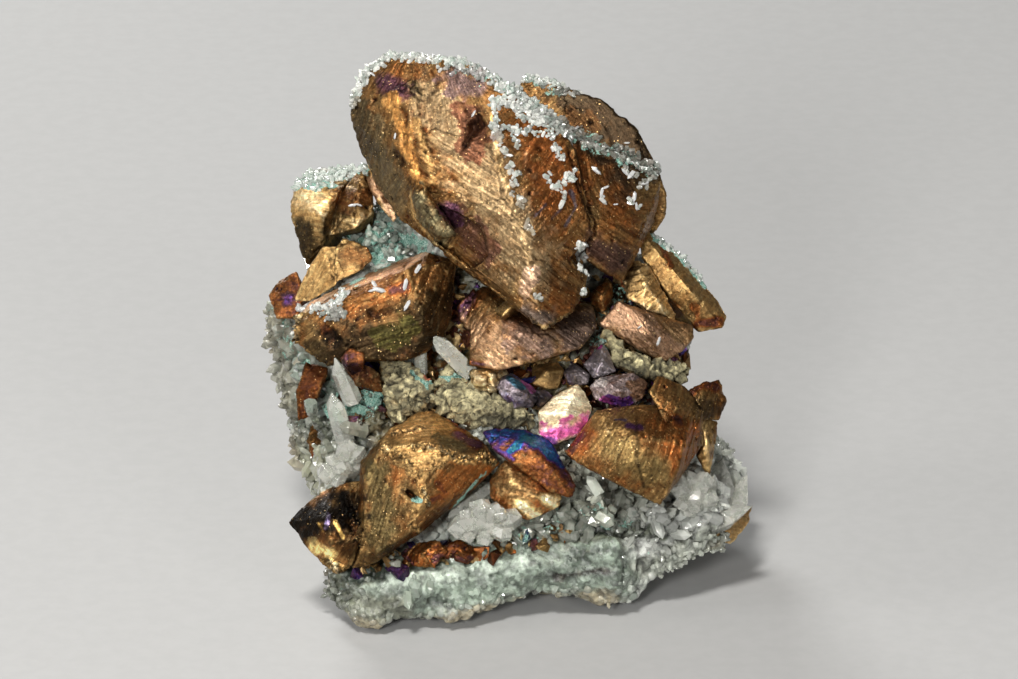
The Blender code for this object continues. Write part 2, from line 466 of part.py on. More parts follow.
def hull(corners, grow=0.0):
    """The flat-faced solid round the corners, grown outwards by so many millimetres."""
    shape = bmesh.new()
    for corner in corners:
        shape.verts.new(corner)
    found = bmesh.ops.convex_hull(shape, input=shape.verts)
    spare = {part for part in found["geom_interior"] if isinstance(part, bmesh.types.BMVert)}
    bmesh.ops.delete(shape, geom=list(spare), context="VERTS")
    bmesh.ops.recalc_face_normals(shape, faces=shape.faces)
    shape.normal_update()
    if grow:
        shifts = [(vert, vert.normal * vert.calc_shell_factor() * grow * MM) for vert in shape.verts]
        for vert, shift in shifts:
            vert.co += shift
    return shape


def tetrahedron_corners(middle, edge, turn):
    """The corners of a tetrahedron whose points are cut off, each one a little differently."""
    rotation = Euler([math.radians(angle) for angle in turn]).to_matrix()
    tips = [rotation @ Vector(tip) * edge / TETRAHEDRON_EDGE for tip in TETRAHEDRON]
    corners = []
    for index, tip in enumerate(tips):
        cut = TIP_CUT + TIP_CUT_STEP * index
        for other in tips:
            if other is not tip:
                corners.append((Vector(middle) + tip.lerp(other, cut)) * MM)
    return corners


def quartz_corners(foot, tip, width):
    """The corners of a six-sided prism with an uneven point."""
    axis = tip - foot
    turn = axis.to_track_quat("Z", "Y").to_matrix()
    radius = 0.5 * width * MM
    body = axis.length - QUARTZ_POINT_LENGTH * radius
    corners = [tip]
    for side in range(QUARTZ_SIDES):
        angle = math.radians(360 / QUARTZ_SIDES * side + QUARTZ_FIRST_SIDE)
        around = Vector((math.cos(angle), QUARTZ_FLATNESS * math.sin(angle), 0)) * radius
        shoulder = body + QUARTZ_SHOULDER_STEP * radius * math.cos(2 * angle)
        corners.append(foot + turn @ around)
        corners.append(foot + turn @ (around * QUARTZ_TAPER + Vector((0, 0, shoulder))))
    return corners


def crystal_plan():
    """Every crystal as (name, finish, lists of corners), the foremost first."""
    plan = []
    for name, (finish, corner_sets) in FRONT_CRYSTALS.items():
        plan.append((name, finish, [[board(corner) for corner in corners] for corners in corner_sets]))
    for name, (foot, tip, width) in QUARTZ_CRYSTALS.items():
        plan.append((name, "clear_quartz", [quartz_corners(board(foot), board(tip), width)]))
    for name, (finish, forms) in REAR_CRYSTALS.items():
        plan.append((name, finish, [tetrahedron_corners(*form) for form in forms]))
    for name, (foot, tip, width) in REAR_QUARTZ_CRYSTALS.items():
        corners = quartz_corners(Vector(foot) * MM, Vector(tip) * MM, width)
        plan.append((name, "clear_quartz", [corners]))
    return plan


def boxes_meet(corners, others, margin):
    """Whether the boxes round two sets of corners come within the margin of each other."""
    for axis in range(3):
        low, high = min(c[axis] for c in corners), max(c[axis] for c in corners)
        other_low, other_high = min(c[axis] for c in others), max(c[axis] for c in others)
        if low > other_high + margin or other_low > high + margin:
            return False
    return True


def box_size(verts):
    """The volume of the box round some points."""
    spans = [[vert.co[axis] for vert in verts] for axis in range(3)]
    return math.prod(max(span) - min(span) for span in spans)


def keep_largest_piece(target):
    """Drops the crumbs that a cut has parted from the body."""
    shape = bmesh.new()
    shape.from_mesh(target.data)
    left = set(shape.verts)
    pieces = []
    while left:
        piece, edge = set(), [next(iter(left))]
        while edge:
            vert = edge.pop()
            if vert in piece:
                continue
            piece.add(vert)
            edge.extend(link.other_vert(vert) for link in vert.link_edges)
        left -= piece
        pieces.append(piece)
    pieces.sort(key=box_size)
    for crumb in pieces[:-1]:
        bmesh.ops.delete(shape, geom=list(crumb), context="VERTS")
    shape.to_mesh(target.data)
    shape.free()


def tidy_faces(target):
    """Merges points that a cut has left almost on top of each other."""
    shape = bmesh.new()
    shape.from_mesh(target.data)
    bmesh.ops.dissolve_degenerate(shape, dist=NEEDLE_LENGTH, edges=shape.edges)
    bmesh.ops.triangulate(shape, faces=[face for face in shape.faces if len(face.verts) > 4])
    shape.to_mesh(target.data)
    shape.free()


def make_crystals(plan, parts, tools, finishes):
    """Makes each crystal, and trims it where an earlier one is already in its way."""
    for index, (name, finish, corner_sets) in enumerate(plan):
        made = object_from(hull(corner_sets[0]), name, parts)
        for corners in HOLLOWS.get(name, []):
            cutter = object_from(hull([board(corner) for corner in corners]), f"{name}_hollow", tools)
            boolean(made, cutter, "DIFFERENCE")
        for corners in corner_sets[1:]:
            boolean(made, object_from(hull(corners), f"{name}_joined", tools), "UNION")
        for _, _, earlier_sets in plan[:index]:
            for earlier in earlier_sets:
                if any(boxes_meet(corners, earlier, CRYSTAL_GAP * MM) for corners in corner_sets):
                    boolean(made, object_from(hull(earlier, CRYSTAL_GAP), "neighbour", tools), "DIFFERENCE")
        keep_largest_piece(made)
        tidy_faces(made)
        made.data.materials.clear()
        made.data.materials.append(finishes[finish])


def lump(middle, radii, collection):
    """A round lump, its middle in metres and its radii in millimetres."""
    shape = bmesh.new()
    bmesh.ops.create_icosphere(shape, subdivisions=LUMP_SUBDIVISIONS, radius=1)
    bmesh.ops.scale(shape, vec=Vector(radii) * MM, verts=shape.verts)
    bmesh.ops.translate(shape, vec=middle, verts=shape.verts)
    return object_from(shape, "lump", collection)


def roughen(mesh):
    """Pushes the skin of the quartz out into swells, rounded lumps and finer grains."""
    for vert, normal in [(v, v.normal.copy()) for v in mesh.vertices]:
        place = vert.co / MM
        swell = noise.noise(place / SWELL_SIZE)
        lumps = 0.5 - noise.voronoi(place / LUMP_SIZE)[0][0]
        grains = 0.5 - noise.voronoi(place / GRAIN_SIZE)[0][0]
        vert.co += normal * (swell * SWELL_RISE + lumps * LUMP_RISE + grains * GRAIN_RISE) * MM


def fuse(target):
    """Fuses the lumps into one closed skin, softens it, roughens it and thins it out."""
    skin = target.modifiers.new("skin", "REMESH")
    skin.mode = "VOXEL"
    skin.voxel_size = MATRIX_VOXEL * MM
    soften = target.modifiers.new("soften", "SMOOTH")
    soften.factor = 0.5
    soften.iterations = SMOOTH_STEPS
    apply_modifiers(target)
    roughen(target.data)
    thin = target.modifiers.new("thin", "DECIMATE")
    thin.ratio = MATRIX_TRIANGLES / (2 * len(target.data.polygons))
    apply_modifiers(target)


def cut_flat(target):
    """Cuts off what is under the resting plane and closes the cut with one flat face."""
    shape = bmesh.new()
    shape.from_mesh(target.data)
    geometry = list(shape.verts) + list(shape.edges) + list(shape.faces)
    cut = bmesh.ops.bisect_plane(shape, geom=geometry, plane_co=(0, 0, 0), plane_no=(0, 0, 1),
                                 clear_inner=True)
    rim = [part for part in cut["geom_cut"] if isinstance(part, bmesh.types.BMEdge)]
    bmesh.ops.holes_fill(shape, edges=rim, sides=0)
    bmesh.ops.recalc_face_normals(shape, faces=shape.faces)
    shape.to_mesh(target.data)
    shape.free()


def make_matrix(plan, parts, tools, finishes):
    """The quartz mound with its short crystals, hollowed where the others are seated."""
    body = bmesh.new()
    lumps = [(Vector(middle) * MM, radii) for middle, radii in MOUND_LUMPS]
    lumps += [(board(middle), (radius, radius, radius)) for middle, radius in RIM_LUMPS]
    for middle, radii in lumps:
        one = lump(middle, radii, tools)
        body.from_mesh(one.data)
        bpy.data.objects.remove(one)
    matrix = object_from(body, "quartz_matrix", parts)
    fuse(matrix)
    for foot, tip, width in MATRIX_POINTS:
        corners = quartz_corners(board(foot), board(tip), width)
        boolean(matrix, object_from(hull(corners), "point", tools), "UNION")
    for _, _, corner_sets in plan:
        for corners in corner_sets:
            boolean(matrix, object_from(hull(corners, SOCKET_GAP), "seat", tools), "DIFFERENCE")
    cut_flat(matrix)
    keep_largest_piece(matrix)
    tidy_faces(matrix)
    matrix.data.materials.clear()
    matrix.data.materials.append(finishes["quartz"])


def main():
    clear_scene()
    parts = new_collection(PART_NAME)
    tools = new_collection("tools")
    finishes = {name: make_finish(name) for name in FINISHES}
    plan = crystal_plan()
    make_crystals(plan, parts, tools, finishes)
    make_matrix(plan, parts, tools, finishes)


main()
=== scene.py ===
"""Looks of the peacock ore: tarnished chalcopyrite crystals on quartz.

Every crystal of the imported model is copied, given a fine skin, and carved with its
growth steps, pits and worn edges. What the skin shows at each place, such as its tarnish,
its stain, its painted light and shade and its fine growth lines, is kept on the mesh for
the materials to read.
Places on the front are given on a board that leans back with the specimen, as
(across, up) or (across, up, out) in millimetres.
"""

import itertools
import json
import math
import random
from types import SimpleNamespace

import bmesh
import bpy
import numpy as np
from mathutils import Euler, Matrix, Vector, kdtree

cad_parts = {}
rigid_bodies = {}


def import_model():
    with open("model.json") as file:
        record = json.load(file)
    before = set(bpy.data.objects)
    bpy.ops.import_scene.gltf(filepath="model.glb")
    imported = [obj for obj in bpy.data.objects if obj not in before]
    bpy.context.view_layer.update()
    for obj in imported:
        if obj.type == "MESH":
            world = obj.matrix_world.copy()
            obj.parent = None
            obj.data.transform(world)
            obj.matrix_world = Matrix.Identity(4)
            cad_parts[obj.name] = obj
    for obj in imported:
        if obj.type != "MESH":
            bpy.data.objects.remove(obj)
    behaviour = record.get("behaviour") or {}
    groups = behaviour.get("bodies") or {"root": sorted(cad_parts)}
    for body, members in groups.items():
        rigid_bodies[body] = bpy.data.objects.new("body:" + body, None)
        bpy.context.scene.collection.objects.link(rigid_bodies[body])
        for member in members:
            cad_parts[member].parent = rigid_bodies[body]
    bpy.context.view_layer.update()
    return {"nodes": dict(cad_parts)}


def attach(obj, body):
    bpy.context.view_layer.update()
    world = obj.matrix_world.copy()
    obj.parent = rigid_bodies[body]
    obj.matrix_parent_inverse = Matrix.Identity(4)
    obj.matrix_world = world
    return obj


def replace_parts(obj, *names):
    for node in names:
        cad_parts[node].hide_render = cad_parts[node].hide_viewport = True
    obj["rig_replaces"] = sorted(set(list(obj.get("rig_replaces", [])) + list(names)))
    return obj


bl_info = {
    "name": "Peacock Ore",
    "version": (1, 0, 0),
    "blender": (4, 5, 0),
    "location": "View3D > Sidebar > Peacock Ore",
    "description": "Dresses the peacock ore specimen with its crystals, quartz and druse",
    "category": "Object",
}

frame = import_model()

MM = 0.001
FAR = 999.0
# The board that places on the front are given on: its lean, and where its foot stands.
BOARD_LEAN = math.radians(22)
BOARD_FOOT_Y = -25.0
# The photograph's scale in millimetres to a pixel, and its width in pixels.
PIXEL = 0.13
PHOTO_WIDTH = 1018
# A long edge is halved when it is at least this share of the longest beside it. Faces that
# look away from the front are left coarser.
SPLIT_SHARE = 0.7
BEHIND_COARSER = 1.7
FACES_AWAY = -0.15
# An edge sharper than this is a ridge or a groove.
SHARP_EDGE = math.radians(20)
# How far apart the lines of a fan are for each radian, in millimetres.
FAN_SPREAD = 11
# The growth plates of a crystal as (width, length), how far they bend, the size of its
# facets, crust and crinkles, and how far apart its pits can be, all in millimetres.
BROAD_PLATE = (1.9, 8.0)
SLIM_PLATE = (0.62, 3.4)
PLATE_BEND = 0.22
FACET_SIZE = 2.0
CRUST_SIZE = 0.7
CRINKLE_SIZE = 0.75
PIT_SPACING = 1.5
PIT_SHARE = 0.08
PIT_DEPTH = 0.3
# The mound's slow and quick facets, and how far apart its rim's beads are and how round.
MOUND_FACETS = (2.6, 1.3)
FACET_TILT = 1.9
BEAD_SPACING = 1.25
BEAD_RADIUS = 0.75
BEAD_HEIGHT = 0.62
MOUND_SEED = 77
# How much of a quartz grain's length is below its foot, and how high its shoulder is.
GRAIN_ROOT = 0.3
GRAIN_SHOULDER = 0.56
CLUSTER_SHOULDER = 0.72

# The painted shade in the ore's tiny pits, and the colour of its bright gold specks.
PIT_SHADE_COLOUR = (0.03, 0.02, 0.015)
SPECK_COLOUR = (0.95, 0.66, 0.30)
QUARTZ_IOR = 1.544

# The colours of a tarnish film, from the thinnest to the thickest.
TARNISH = [
    (0.00, (0.95, 0.80, 0.50)), (0.10, (0.72, 0.50, 0.22)), (0.20, (0.46, 0.30, 0.12)),
    (0.32, (0.26, 0.155, 0.06)), (0.40, (0.27, 0.125, 0.04)), (0.47, (0.30, 0.10, 0.025)),
    (0.54, (0.16, 0.055, 0.03)), (0.62, (0.12, 0.05, 0.06)), (0.70, (0.14, 0.05, 0.17)),
    (0.78, (0.04, 0.05, 0.26)), (0.88, (0.02, 0.15, 0.30)), (1.00, (0.08, 0.32, 0.28)),
]

# What a metallic crystal is like unless LOOKS says otherwise. film is the thickness of its
# tarnish, from 0 clean gold over bronze, orange, crimson, violet and blue to 1 green, and
# vary is how much that wanders. turn is the way its growth faces are turned, in degrees.
# step, swell, grow and chip are millimetres: the height of its growth steps, its slow
# waves, how far the whole skin is raised, and how deep its edges are worn. The wear setting
# thins the tarnish on worn edges, which stands for wear and also paints a highlight where
# the light catches them. crust, crinkle and facets roughen it, and crinkle also paints shade
# in the grooves between its crinkles. crumbly is how much of it is broken into crumbs, with
# painted shade in the crevices between them, and crumb is their size in millimetres. The
# groups of LOOKS share a finish.
PLAIN = dict(
    vary=0.1, step=0.14, crust=0.1, swell=0.1, grow=0.1, crinkle=0, facets=0, wear_and_sheen=0.08,
    chip=0.5, crumbly=0, crumb=0.62)
SLATE = dict(crust=0, swell=0.04, grow=0.06, wear_and_sheen=0.02, chip=0.1)
CHALKY = dict(
    film=0.22, vary=0.05, step=0.16, crust=0.3, grow=0.3, crinkle=0.5, crumbly=0.75, chip=0.2)
LOOKS = {
    "crown": {
        "crown_crystals": dict(film=0.35, vary=0.05, turn=(20, 10, 35), crust=0.05, swell=0.2, chip=0.35),
    },
    "bronze": {
        "shield_crystal": dict(
            film=0.36, vary=0.05, turn=(0, 35, -30), step=0.1, crust=0, swell=0.04, grow=0.15, chip=0.12),
        "barrel_crystal": dict(film=0.36, vary=0.05, turn=(10, 30, 20), crust=0.04, chip=0.3),
        "corner_crystals": dict(film=0.33, vary=0.08, turn=(30, 0, 50), step=0.1, crust=0.15, chip=0.3),
        "orange_crystals": dict(film=0.48, turn=(0, 20, 70)),
        "right_front_crystals": dict(
            film=0.4, vary=0.09, turn=(15, 40, 5), step=0.1, crust=0.06, grow=0.2, chip=0.3),
        "right_shelf_crystal": dict(
            film=0.4, vary=0.05, turn=(5, 50, 20), step=0.1, crust=0.02, swell=0.05, grow=0.15, chip=0.12),
        "under_lobe_crystal": dict(
            film=0.42, vary=0.06, turn=(60, 10, 20), step=0.1, crust=0.03, grow=0.2),
        "left_blade_crystal": dict(
            film=0.42, vary=0.08, turn=(0, 70, 20), step=0.1, crust=0.2, chip=0.25),
        "rear_left_crystals": dict(film=0.37, turn=(20, -15, 35), step=0.16),
        "rear_corner_crystal": dict(film=0.44, vary=0.08, turn=(15, 40, 60)),
        "left_low_crystals": dict(film=0.4, turn=(30, 15, 100), crust=0.2),
    },
    "gold": {
        "left_summit_crystals": dict(film=0.2, turn=(20, 20, 0), step=0.07, crust=0.03),
        "tan_crystals": dict(film=0.16, vary=0.06, turn=(0, 10, 60), step=0.06, crust=0.02, chip=0.25),
        "bright_crystal": dict(
            film=0.03, vary=0.04, turn=(0, 30, 10), step=0.03, crust=0, swell=0.04, grow=0.15, chip=0.08),
        "pale_gold_crystal": dict(
            film=0.04, vary=0.05, turn=(40, 0, 10), step=0.16, crust=0.3, grow=0.15, facets=0.7, chip=0.2),
        "tan_cube_crystal": dict(
            film=0.24, vary=0.04, turn=(0, 0, 20), step=0.03, crust=0, swell=0.04, grow=0.15, chip=0.1),
        "striated_crystal": dict(film=0.14, vary=0.06, turn=(35, 55, 5), step=0.22, crust=0, chip=0.2),
        "long_pale_crystal": dict(
            film=0.16, vary=0.07, turn=(10, 25, 40), step=0.06, crust=0.02, chip=0.25),
        "right_edge_crystal": dict(film=0.2, turn=(0, 25, 40), crust=0.2),
        "rear_low_crystal": dict(film=0.16, vary=0.12, turn=(50, 5, 30), step=0.16),
        "right_side_crystals": dict(film=0.2, vary=0.12, turn=(25, 60, 40)),
    },
    "peacock": {
        "purple_side_crystal": dict(film=0.5, vary=0.06, turn=(0, 25, 0), step=0.1, chip=0.25),
        "red_crystals": dict(film=0.5, turn=(0, 45, 60), crust=0.2, chip=0.25),
        "peacock_crystals": dict(film=0.5, turn=(30, 20, 30), step=0.06, crust=0.04, grow=0.2, chip=0.2),
        "violet_crystals": dict(SLATE, film=0.74, turn=(10, 40, 0), step=0.16, facets=0.05),
        "small_slate_crystal": dict(SLATE, film=0.68, vary=0.08, turn=(0, 60, 10)),
        "upper_slate_crystal": dict(SLATE, film=0.66, vary=0.08, turn=(30, 60, 10), step=0.1),
        "lower_slate_crystal": dict(
            SLATE, film=0.6, vary=0.14, turn=(50, 20, 10), step=0.16, facets=0.05),
        "rear_right_crystals": dict(film=0.72, vary=0.16, turn=(35, 25, -20)),
        "rear_high_crystal": dict(film=0.6, vary=0.18, turn=(40, 30, 5)),
    },
    "olive": {
        "olive_crystals": dict(CHALKY, turn=(0, 20, 40), facets=0.5, crumb=1.25),
        "olive_ledge_crystals": dict(CHALKY, turn=(0, 75, 10), facets=0.4, crumb=1.1),
    },
}

CLEAR_CRYSTALS = [
    "white_quartz_point", "small_quartz_point", "upper_smoky_quartz_point",
    "lower_smoky_quartz_point", "grey_quartz_point", "front_quartz_crystal",
    "left_quartz_crystal", "right_quartz_crystal", "right_quartz_point",
    "upper_right_quartz_point", "far_right_quartz_point", "low_right_quartz_point",
    "rear_left_quartz_point", "rear_top_quartz_point", "rear_middle_quartz_point",
    "rear_side_quartz_point", "rear_low_quartz_point", "rear_right_quartz_point",
]

# Marks on the front of each piece, by kind: by how much or to what each one changes it,
# how far from the line it reaches in millimetres, and the line's points on the board.
# film sets the tarnish, tint paints a colour, shade darkens or lightens, rise lifts the
# skin or sinks it by millimetres, crumble breaks it into crumbs with a tarnish of their
# own, coat lays on green copper dust, and druse asks for grains. Most shade marks are
# painted light and shade: faces lit or shaded for how the light falls on them, painted
# highlights on lit ridges, ledges and bands, and painted shade in recesses, notches and
# pits, beside some dark and pale patches of the crystals' own. Some tint and film marks
# paint light and shade too, where a comment says so.
MARKS = {
    "crown_crystals": dict(tint=[
        ((0.34, 0.25, 0.14), 5, [(-9, 68), (-5, 62), (-1, 54), (2, 48)]),
        # The far-left strip: dark olive, partly its own colour and partly painted shade.
        ((0.2, 0.155, 0.08), 2.6, [(-19.4, 67), (-17.2, 62), (-14.6, 57)]),
        ((0.12, 0.05, 0.085), 1.3, [(-16.4, 71), (-13.8, 70.2)]),
        # A painted highlight: the lit edge of the ledge glows orange.
        ((0.7, 0.36, 0.11), 1, [(-15.2, 68.6), (-13.6, 65), (-12.6, 62), (-11.6, 58.4)]),
        ((0.42, 0.26, 0.1), 0.5, [(-11.8, 66), (-10.2, 61), (-9.6, 58)]),
        ((0.2, 0.085, 0.05), 1.7, [(-5, 67.2), (-3.6, 64.8), (-5, 62.6)]),
        ((0.19, 0.13, 0.13), 2, [(-7, 71.6), (-4, 70.6)]),
        # The recessed facets below the plate: dark brown and purple, partly their own colour and partly
        # painted shade.
        ((0.17, 0.085, 0.06), 2, [(-8.4, 54), (-5.4, 51.8), (-3.4, 49.6)]),
        ((0.17, 0.07, 0.15), 0.9, [(-8.6, 55), (-6.4, 53.4)]),
        ((0.21, 0.19, 0.11), 1.5, [(-11.4, 56.2), (-10.2, 53.4), (-8.4, 51.2)]),
        ((0.19, 0.15, 0.13), 1.5, [(2.6, 41.4), (4.4, 40.6)]),
        ((0.72, 0.5, 0.36), 0.9, [(1.8, 44.2), (3, 46.4)]),
        ((0.1, 0.09, 0.12), 0.25, [(3.4, 53.6), (4.8, 55.2)]),
        ((0.1, 0.09, 0.12), 0.25, [(5.6, 53.4), (6.8, 54.6)]),
        ((0.12, 0.11, 0.15), 0.3, [(7.4, 52.5), (8.8, 55), (8.2, 57)]),
        ((0.15, 0.085, 0.07), 2.2, [(11.4, 49.8), (14.4, 48.2)]),
        ((0.085, 0.06, 0.035), 6, [(10, 69), (17, 62)]), ((0.16, 0.08, 0.03), 1.2, [(8, 67), (11, 66)]),
    ], film=[
        (0.46, 5, [(5, 64), (6, 56), (9, 60)]), (0.44, 3, [(14, 60), (14, 54)]),
        (0.44, 1.1, [(-7, 58.5), (-8.2, 62), (-8, 66)]),
        # A thin golden line along the ridge: a painted highlight.
        (0.22, 0.35, [(-2.2, 67), (-1.4, 62), (0, 57), (1.8, 52), (3, 46)]),
        (0.18, 1.3, [(1.4, 44.4), (2.8, 46.6)]), (0.24, 1.2, [(-12, 55.4), (-9.6, 52)]),
        (0.16, 0.3, [(-12.6, 57), (-12.2, 53.6), (-9.8, 50.6), (-7.4, 50)]),
    ], shade=[
        # Painted light and shade on the crown: stretches of its face lighter or darker for how the light
        # falls, painted highlights on the ledge, the ridge and the plate's edge, and painted shade in the
        # recess, the notch, the pit, under the lobe, on the far-left strip and on the lobe.
        (1.3, 5, [(-3, 57), (1, 48)]), (0.8, 4, [(-10, 69), (-7, 63)]),
        (1.5, 0.8, [(-15.2, 68.6), (-13.6, 65), (-12.6, 62), (-11.6, 58.4)]),
        (1.3, 3, [(-9, 70), (-8, 64), (-4, 58)]), (0.6, 1, [(-9, 54.6), (-7, 52)]),
        (1.5, 0.35, [(-2.2, 67), (-1.4, 62), (0, 57), (1.8, 52), (3, 46)]),
        (0.6, 3, [(6, 46), (8.6, 43.4)]), (0.35, 0.4, [(8, 62), (9.4, 57.8), (11.2, 52.5)]),
        (0.65, 2.4, [(11.4, 49), (14.4, 47.4)]), (0.55, 2, [(-19.4, 68), (-18.4, 62)]),
        (0.4, 0.7, [(-14.6, 61.8), (-13.8, 60.6)]),
        (1.6, 0.35, [(-12.6, 57), (-12.2, 53.6), (-9.8, 50.6), (-7.4, 50)]),
        (0.6, 5, [(10, 69), (17, 63)]),
    ], rise=[
        (0.5, 1.6, [(-13, 69), (-11.8, 65), (-10.8, 62), (-9.8, 58.4)]),
        (-0.25, 1.4, [(-4.6, 66.6), (-3.6, 64.4)]),
        (0.35, 1.3, [(-11.4, 56.2), (-10.2, 53.4), (-8.4, 51.2)]),
        (-0.5, 0.5, [(8, 62), (9.4, 57.8), (11.2, 52.5)]), (-0.35, 0.6, [(-14.6, 61.8), (-13.8, 60.6)]),
    ], crumble=[
        (0.1, 0.35, [(3, 40.6), (4.8, 39.2), (8, 41)]), (0.1, 0.7, [(-12.6, 70.8), (-11.4, 69.6)]),
    ], coat=[
        (0.5, 1.6, [(-8, 74.2), (0.5, 70.4), (8.4, 64.9), (18.6, 60)]),
        (0.5, 1.2, [(2, 72.2), (6.4, 70.6)]),
    ], druse=[
        (1, 0.9, [(-20, 69), (-18.4, 73.2), (-15.3, 75), (-12, 74.8), (-6, 74)]),
        (1, 1.4, [(-8, 74.2), (-3, 72.6), (0.5, 70.4), (4, 67.9), (8.4, 64.9)]),
        (1, 0.9, [(8.4, 64.9), (12, 63), (16, 61.6), (18.6, 60)]),
        (1, 1.1, [(-1.6, 68.8), (1.2, 68), (3.4, 67.2), (5.6, 66)]),
        (1, 0.7, [(-1.8, 69), (-1.8, 66), (-1.5, 63.6)]),
        (1, 0.6, [(0.4, 69), (1.4, 66.6), (3.4, 66), (5.4, 66.6)]),
        (1, 0.55, [(-1, 65.2), (2.8, 64.7), (5, 64.4), (5.4, 66)]), (1, 0.45, [(0.4, 64.4), (1.2, 63)]),
        (1, 0.45, [(5.3, 65), (6, 62.8), (6.8, 61)]), (1, 0.4, [(-1.2, 63), (-0.2, 61.6), (0.4, 59.6)]),
        (1, 0.75, [(0.8, 59.2), (0.6, 57.4)]), (1, 0.5, [(0.6, 57), (1.6, 55.3)]),
        (1, 0.5, [(5.2, 59), (5.3, 58.2)]), (1, 0.45, [(6.2, 57.6), (7.6, 58.2), (8.8, 60)]),
        (1, 0.35, [(7, 57.4), (7.1, 55.8)]), (1, 0.45, [(2.2, 52.6), (3, 51.8)]),
        (1, 0.6, [(9.4, 50), (9.6, 48.6)]), (1, 0.4, [(9.2, 47), (10.4, 46.4)]),
        (1, 0.3, [(3.6, 43.4), (4.2, 43)]), (1, 0.3, [(9.5, 44.2), (9.9, 43)]),
        (1, 0.4, [(11, 60.2), (11.8, 59.6)]), (1, 0.4, [(15.4, 60.2), (16.2, 59), (17, 59.8)]),
        (1, 0.35, [(17.3, 58), (18.2, 58.4)]), (1, 0.35, [(16, 56), (16.8, 55)]),
        (1, 0.3, [(12, 57), (12.2, 56)]), (1, 0.9, [(2, 72.2), (4.4, 72), (6.4, 70.6)]),
        (1, 0.4, [(7.6, 70.2), (9.2, 70)]),
    ]),
    "shield_crystal": dict(tint=[
        # Pink-gold at the lower left: partly the shield's own colour and partly a painted highlight.
        ((0.72, 0.47, 0.28), 3.4, [(-4.6, 38), (0, 35.4)]),
        ((0.4, 0.27, 0.21), 2.2, [(2, 38.6), (5, 36.6)]), ((0.22, 0.155, 0.13), 3.4, [(8, 39), (10, 40)]),
    ], film=[
        (0.1, 1, [(-0.6, 41.6), (0.8, 43)]), (0.7, 0.6, [(-4.6, 34.8), (-2, 34.4)]),
        (0.66, 1.4, [(-6, 41), (-5, 43.6)]),
    ], shade=[
        (0.6, 3, [(5, 41), (10, 39)]), (0.5, 1.2, [(1.2, 41), (1.8, 40)]),
    ]),
    "barrel_crystal": dict(tint=[
        # Painted shade: the front faces down, away from the light, and is darkened.
        ((0.065, 0.045, 0.02), 5, [(-22, 36.6), (-14, 37.6), (-8, 41)]),
        ((0.085, 0.085, 0.022), 1.7, [(-15.6, 38.4), (-13.4, 39.2)]),
    ], film=[
        # The ridge's orange band, the first mark: partly its tarnish and partly a painted highlight.
        (0.4, 1.5, [(-24, 41.6), (-18, 44.6), (-11, 48.2)]), (0.58, 1, [(-14.8, 44.2), (-13.4, 44.4)]),
        (0.56, 1.2, [(-23.6, 38.8), (-22.4, 37.4)]), (0.28, 1.6, [(-25.6, 38.6), (-24.6, 36)]),
    ], shade=[
        # A painted highlight along the ridge, painted shade on the front that faces down, and painted
        # shade in two hollows.
        (1.25, 0.8, [(-22.4, 40.8), (-18, 43.4), (-13, 46.8)]),
        (0.6, 4.4, [(-21, 37.4), (-12, 37), (-9, 41)]), (0.4, 0.7, [(-17.4, 41), (-15.6, 41.4)]),
        (0.5, 1.3, [(-23.6, 38.8), (-22.4, 37.4)]),
    ], rise=[
        (-0.3, 0.8, [(-17.4, 41), (-15.6, 41.4)]), (-0.6, 1.2, [(-23.4, 38.6), (-22.6, 37.6)]),
    ], crumble=[
        (0.14, 0.8, [(-27.4, 41), (-27.8, 38)]),
    ], coat=[
        (0.8, 0.8, [(-20.2, 45.4), (-19.4, 45.8)]), (0.8, 0.7, [(-18.8, 46.8), (-16, 47.6)]),
    ], druse=[
        (1, 0.8, [(-24.8, 41.6), (-22.4, 41.4)]), (1, 0.6, [(-24.4, 41), (-22.4, 42.6), (-21.4, 43.6)]),
        (1, 0.5, [(-23.4, 40.4), (-21.2, 41)]),
    ]),
    "corner_crystals": dict(tint=[
        ((0.19, 0.145, 0.06), 2.4, [(-17, 20.6), (-16, 16), (-16.6, 12)]),
        # The top in orange-yellow: partly its own colour and partly painted light where the light falls on
        # it.
        ((0.52, 0.33, 0.14), 2, [(-14.4, 26.6), (-9, 27)]),
        ((0.1, 0.09, 0.05), 0.9, [(-8.6, 24.8), (-6, 23.8)]),
        ((0.035, 0.026, 0.016), 3, [(-27, 14), (-22, 15.4)]),
        ((0.9, 0.62, 0.2), 0.2, [(-22.4, 14.2), (-21.3, 12.2)]),
        ((0.8, 0.5, 0.14), 0.16, [(-24.4, 14), (-23.8, 13)]),
        ((0.5, 0.42, 0.85), 0.22, [(-23.2, 15.2), (-23.5, 13.4)]),
        ((0.95, 0.72, 0.3), 0.9, [(-25, 11.2), (-23, 10)]),
    ], film=[
        (0.46, 0.7, [(-15, 21), (-14.4, 19.4)]), (0.44, 0.6, [(-17.6, 12.4), (-15.6, 11.6)]),
        (0.43, 2.6, [(-8, 19), (-3.4, 21)]), (0.52, 0.5, [(-9.4, 19.4), (-8.2, 18)]),
        (0.54, 0.6, [(-10, 17), (-9, 17.6)]), (0.4, 1.2, [(-15, 26.4), (-9, 27.4)]),
        (0.64, 0.8, [(-6.6, 25.4), (-4, 24)]), (0.6, 0.3, [(-10, 28.4), (-5.6, 26)]),
        (0.4, 3.4, [(-26.6, 14), (-22.6, 13)]),
    ], shade=[
        # Painted light and shade on the corner crystals: the left face darker and the top and the right
        # face lighter for how the light falls, and painted highlights on the crumbly gold band and the
        # ridge between the faces. The others darken the near-black crystal and two lines, and brighten its
        # gold stripes and foot.
        (0.72, 3, [(-17, 20.6), (-16, 16), (-16.6, 12)]), (1.9, 2.4, [(-14.4, 26.6), (-7, 25.6)]),
        (1.35, 2.4, [(-8, 19), (-4, 20.6)]),
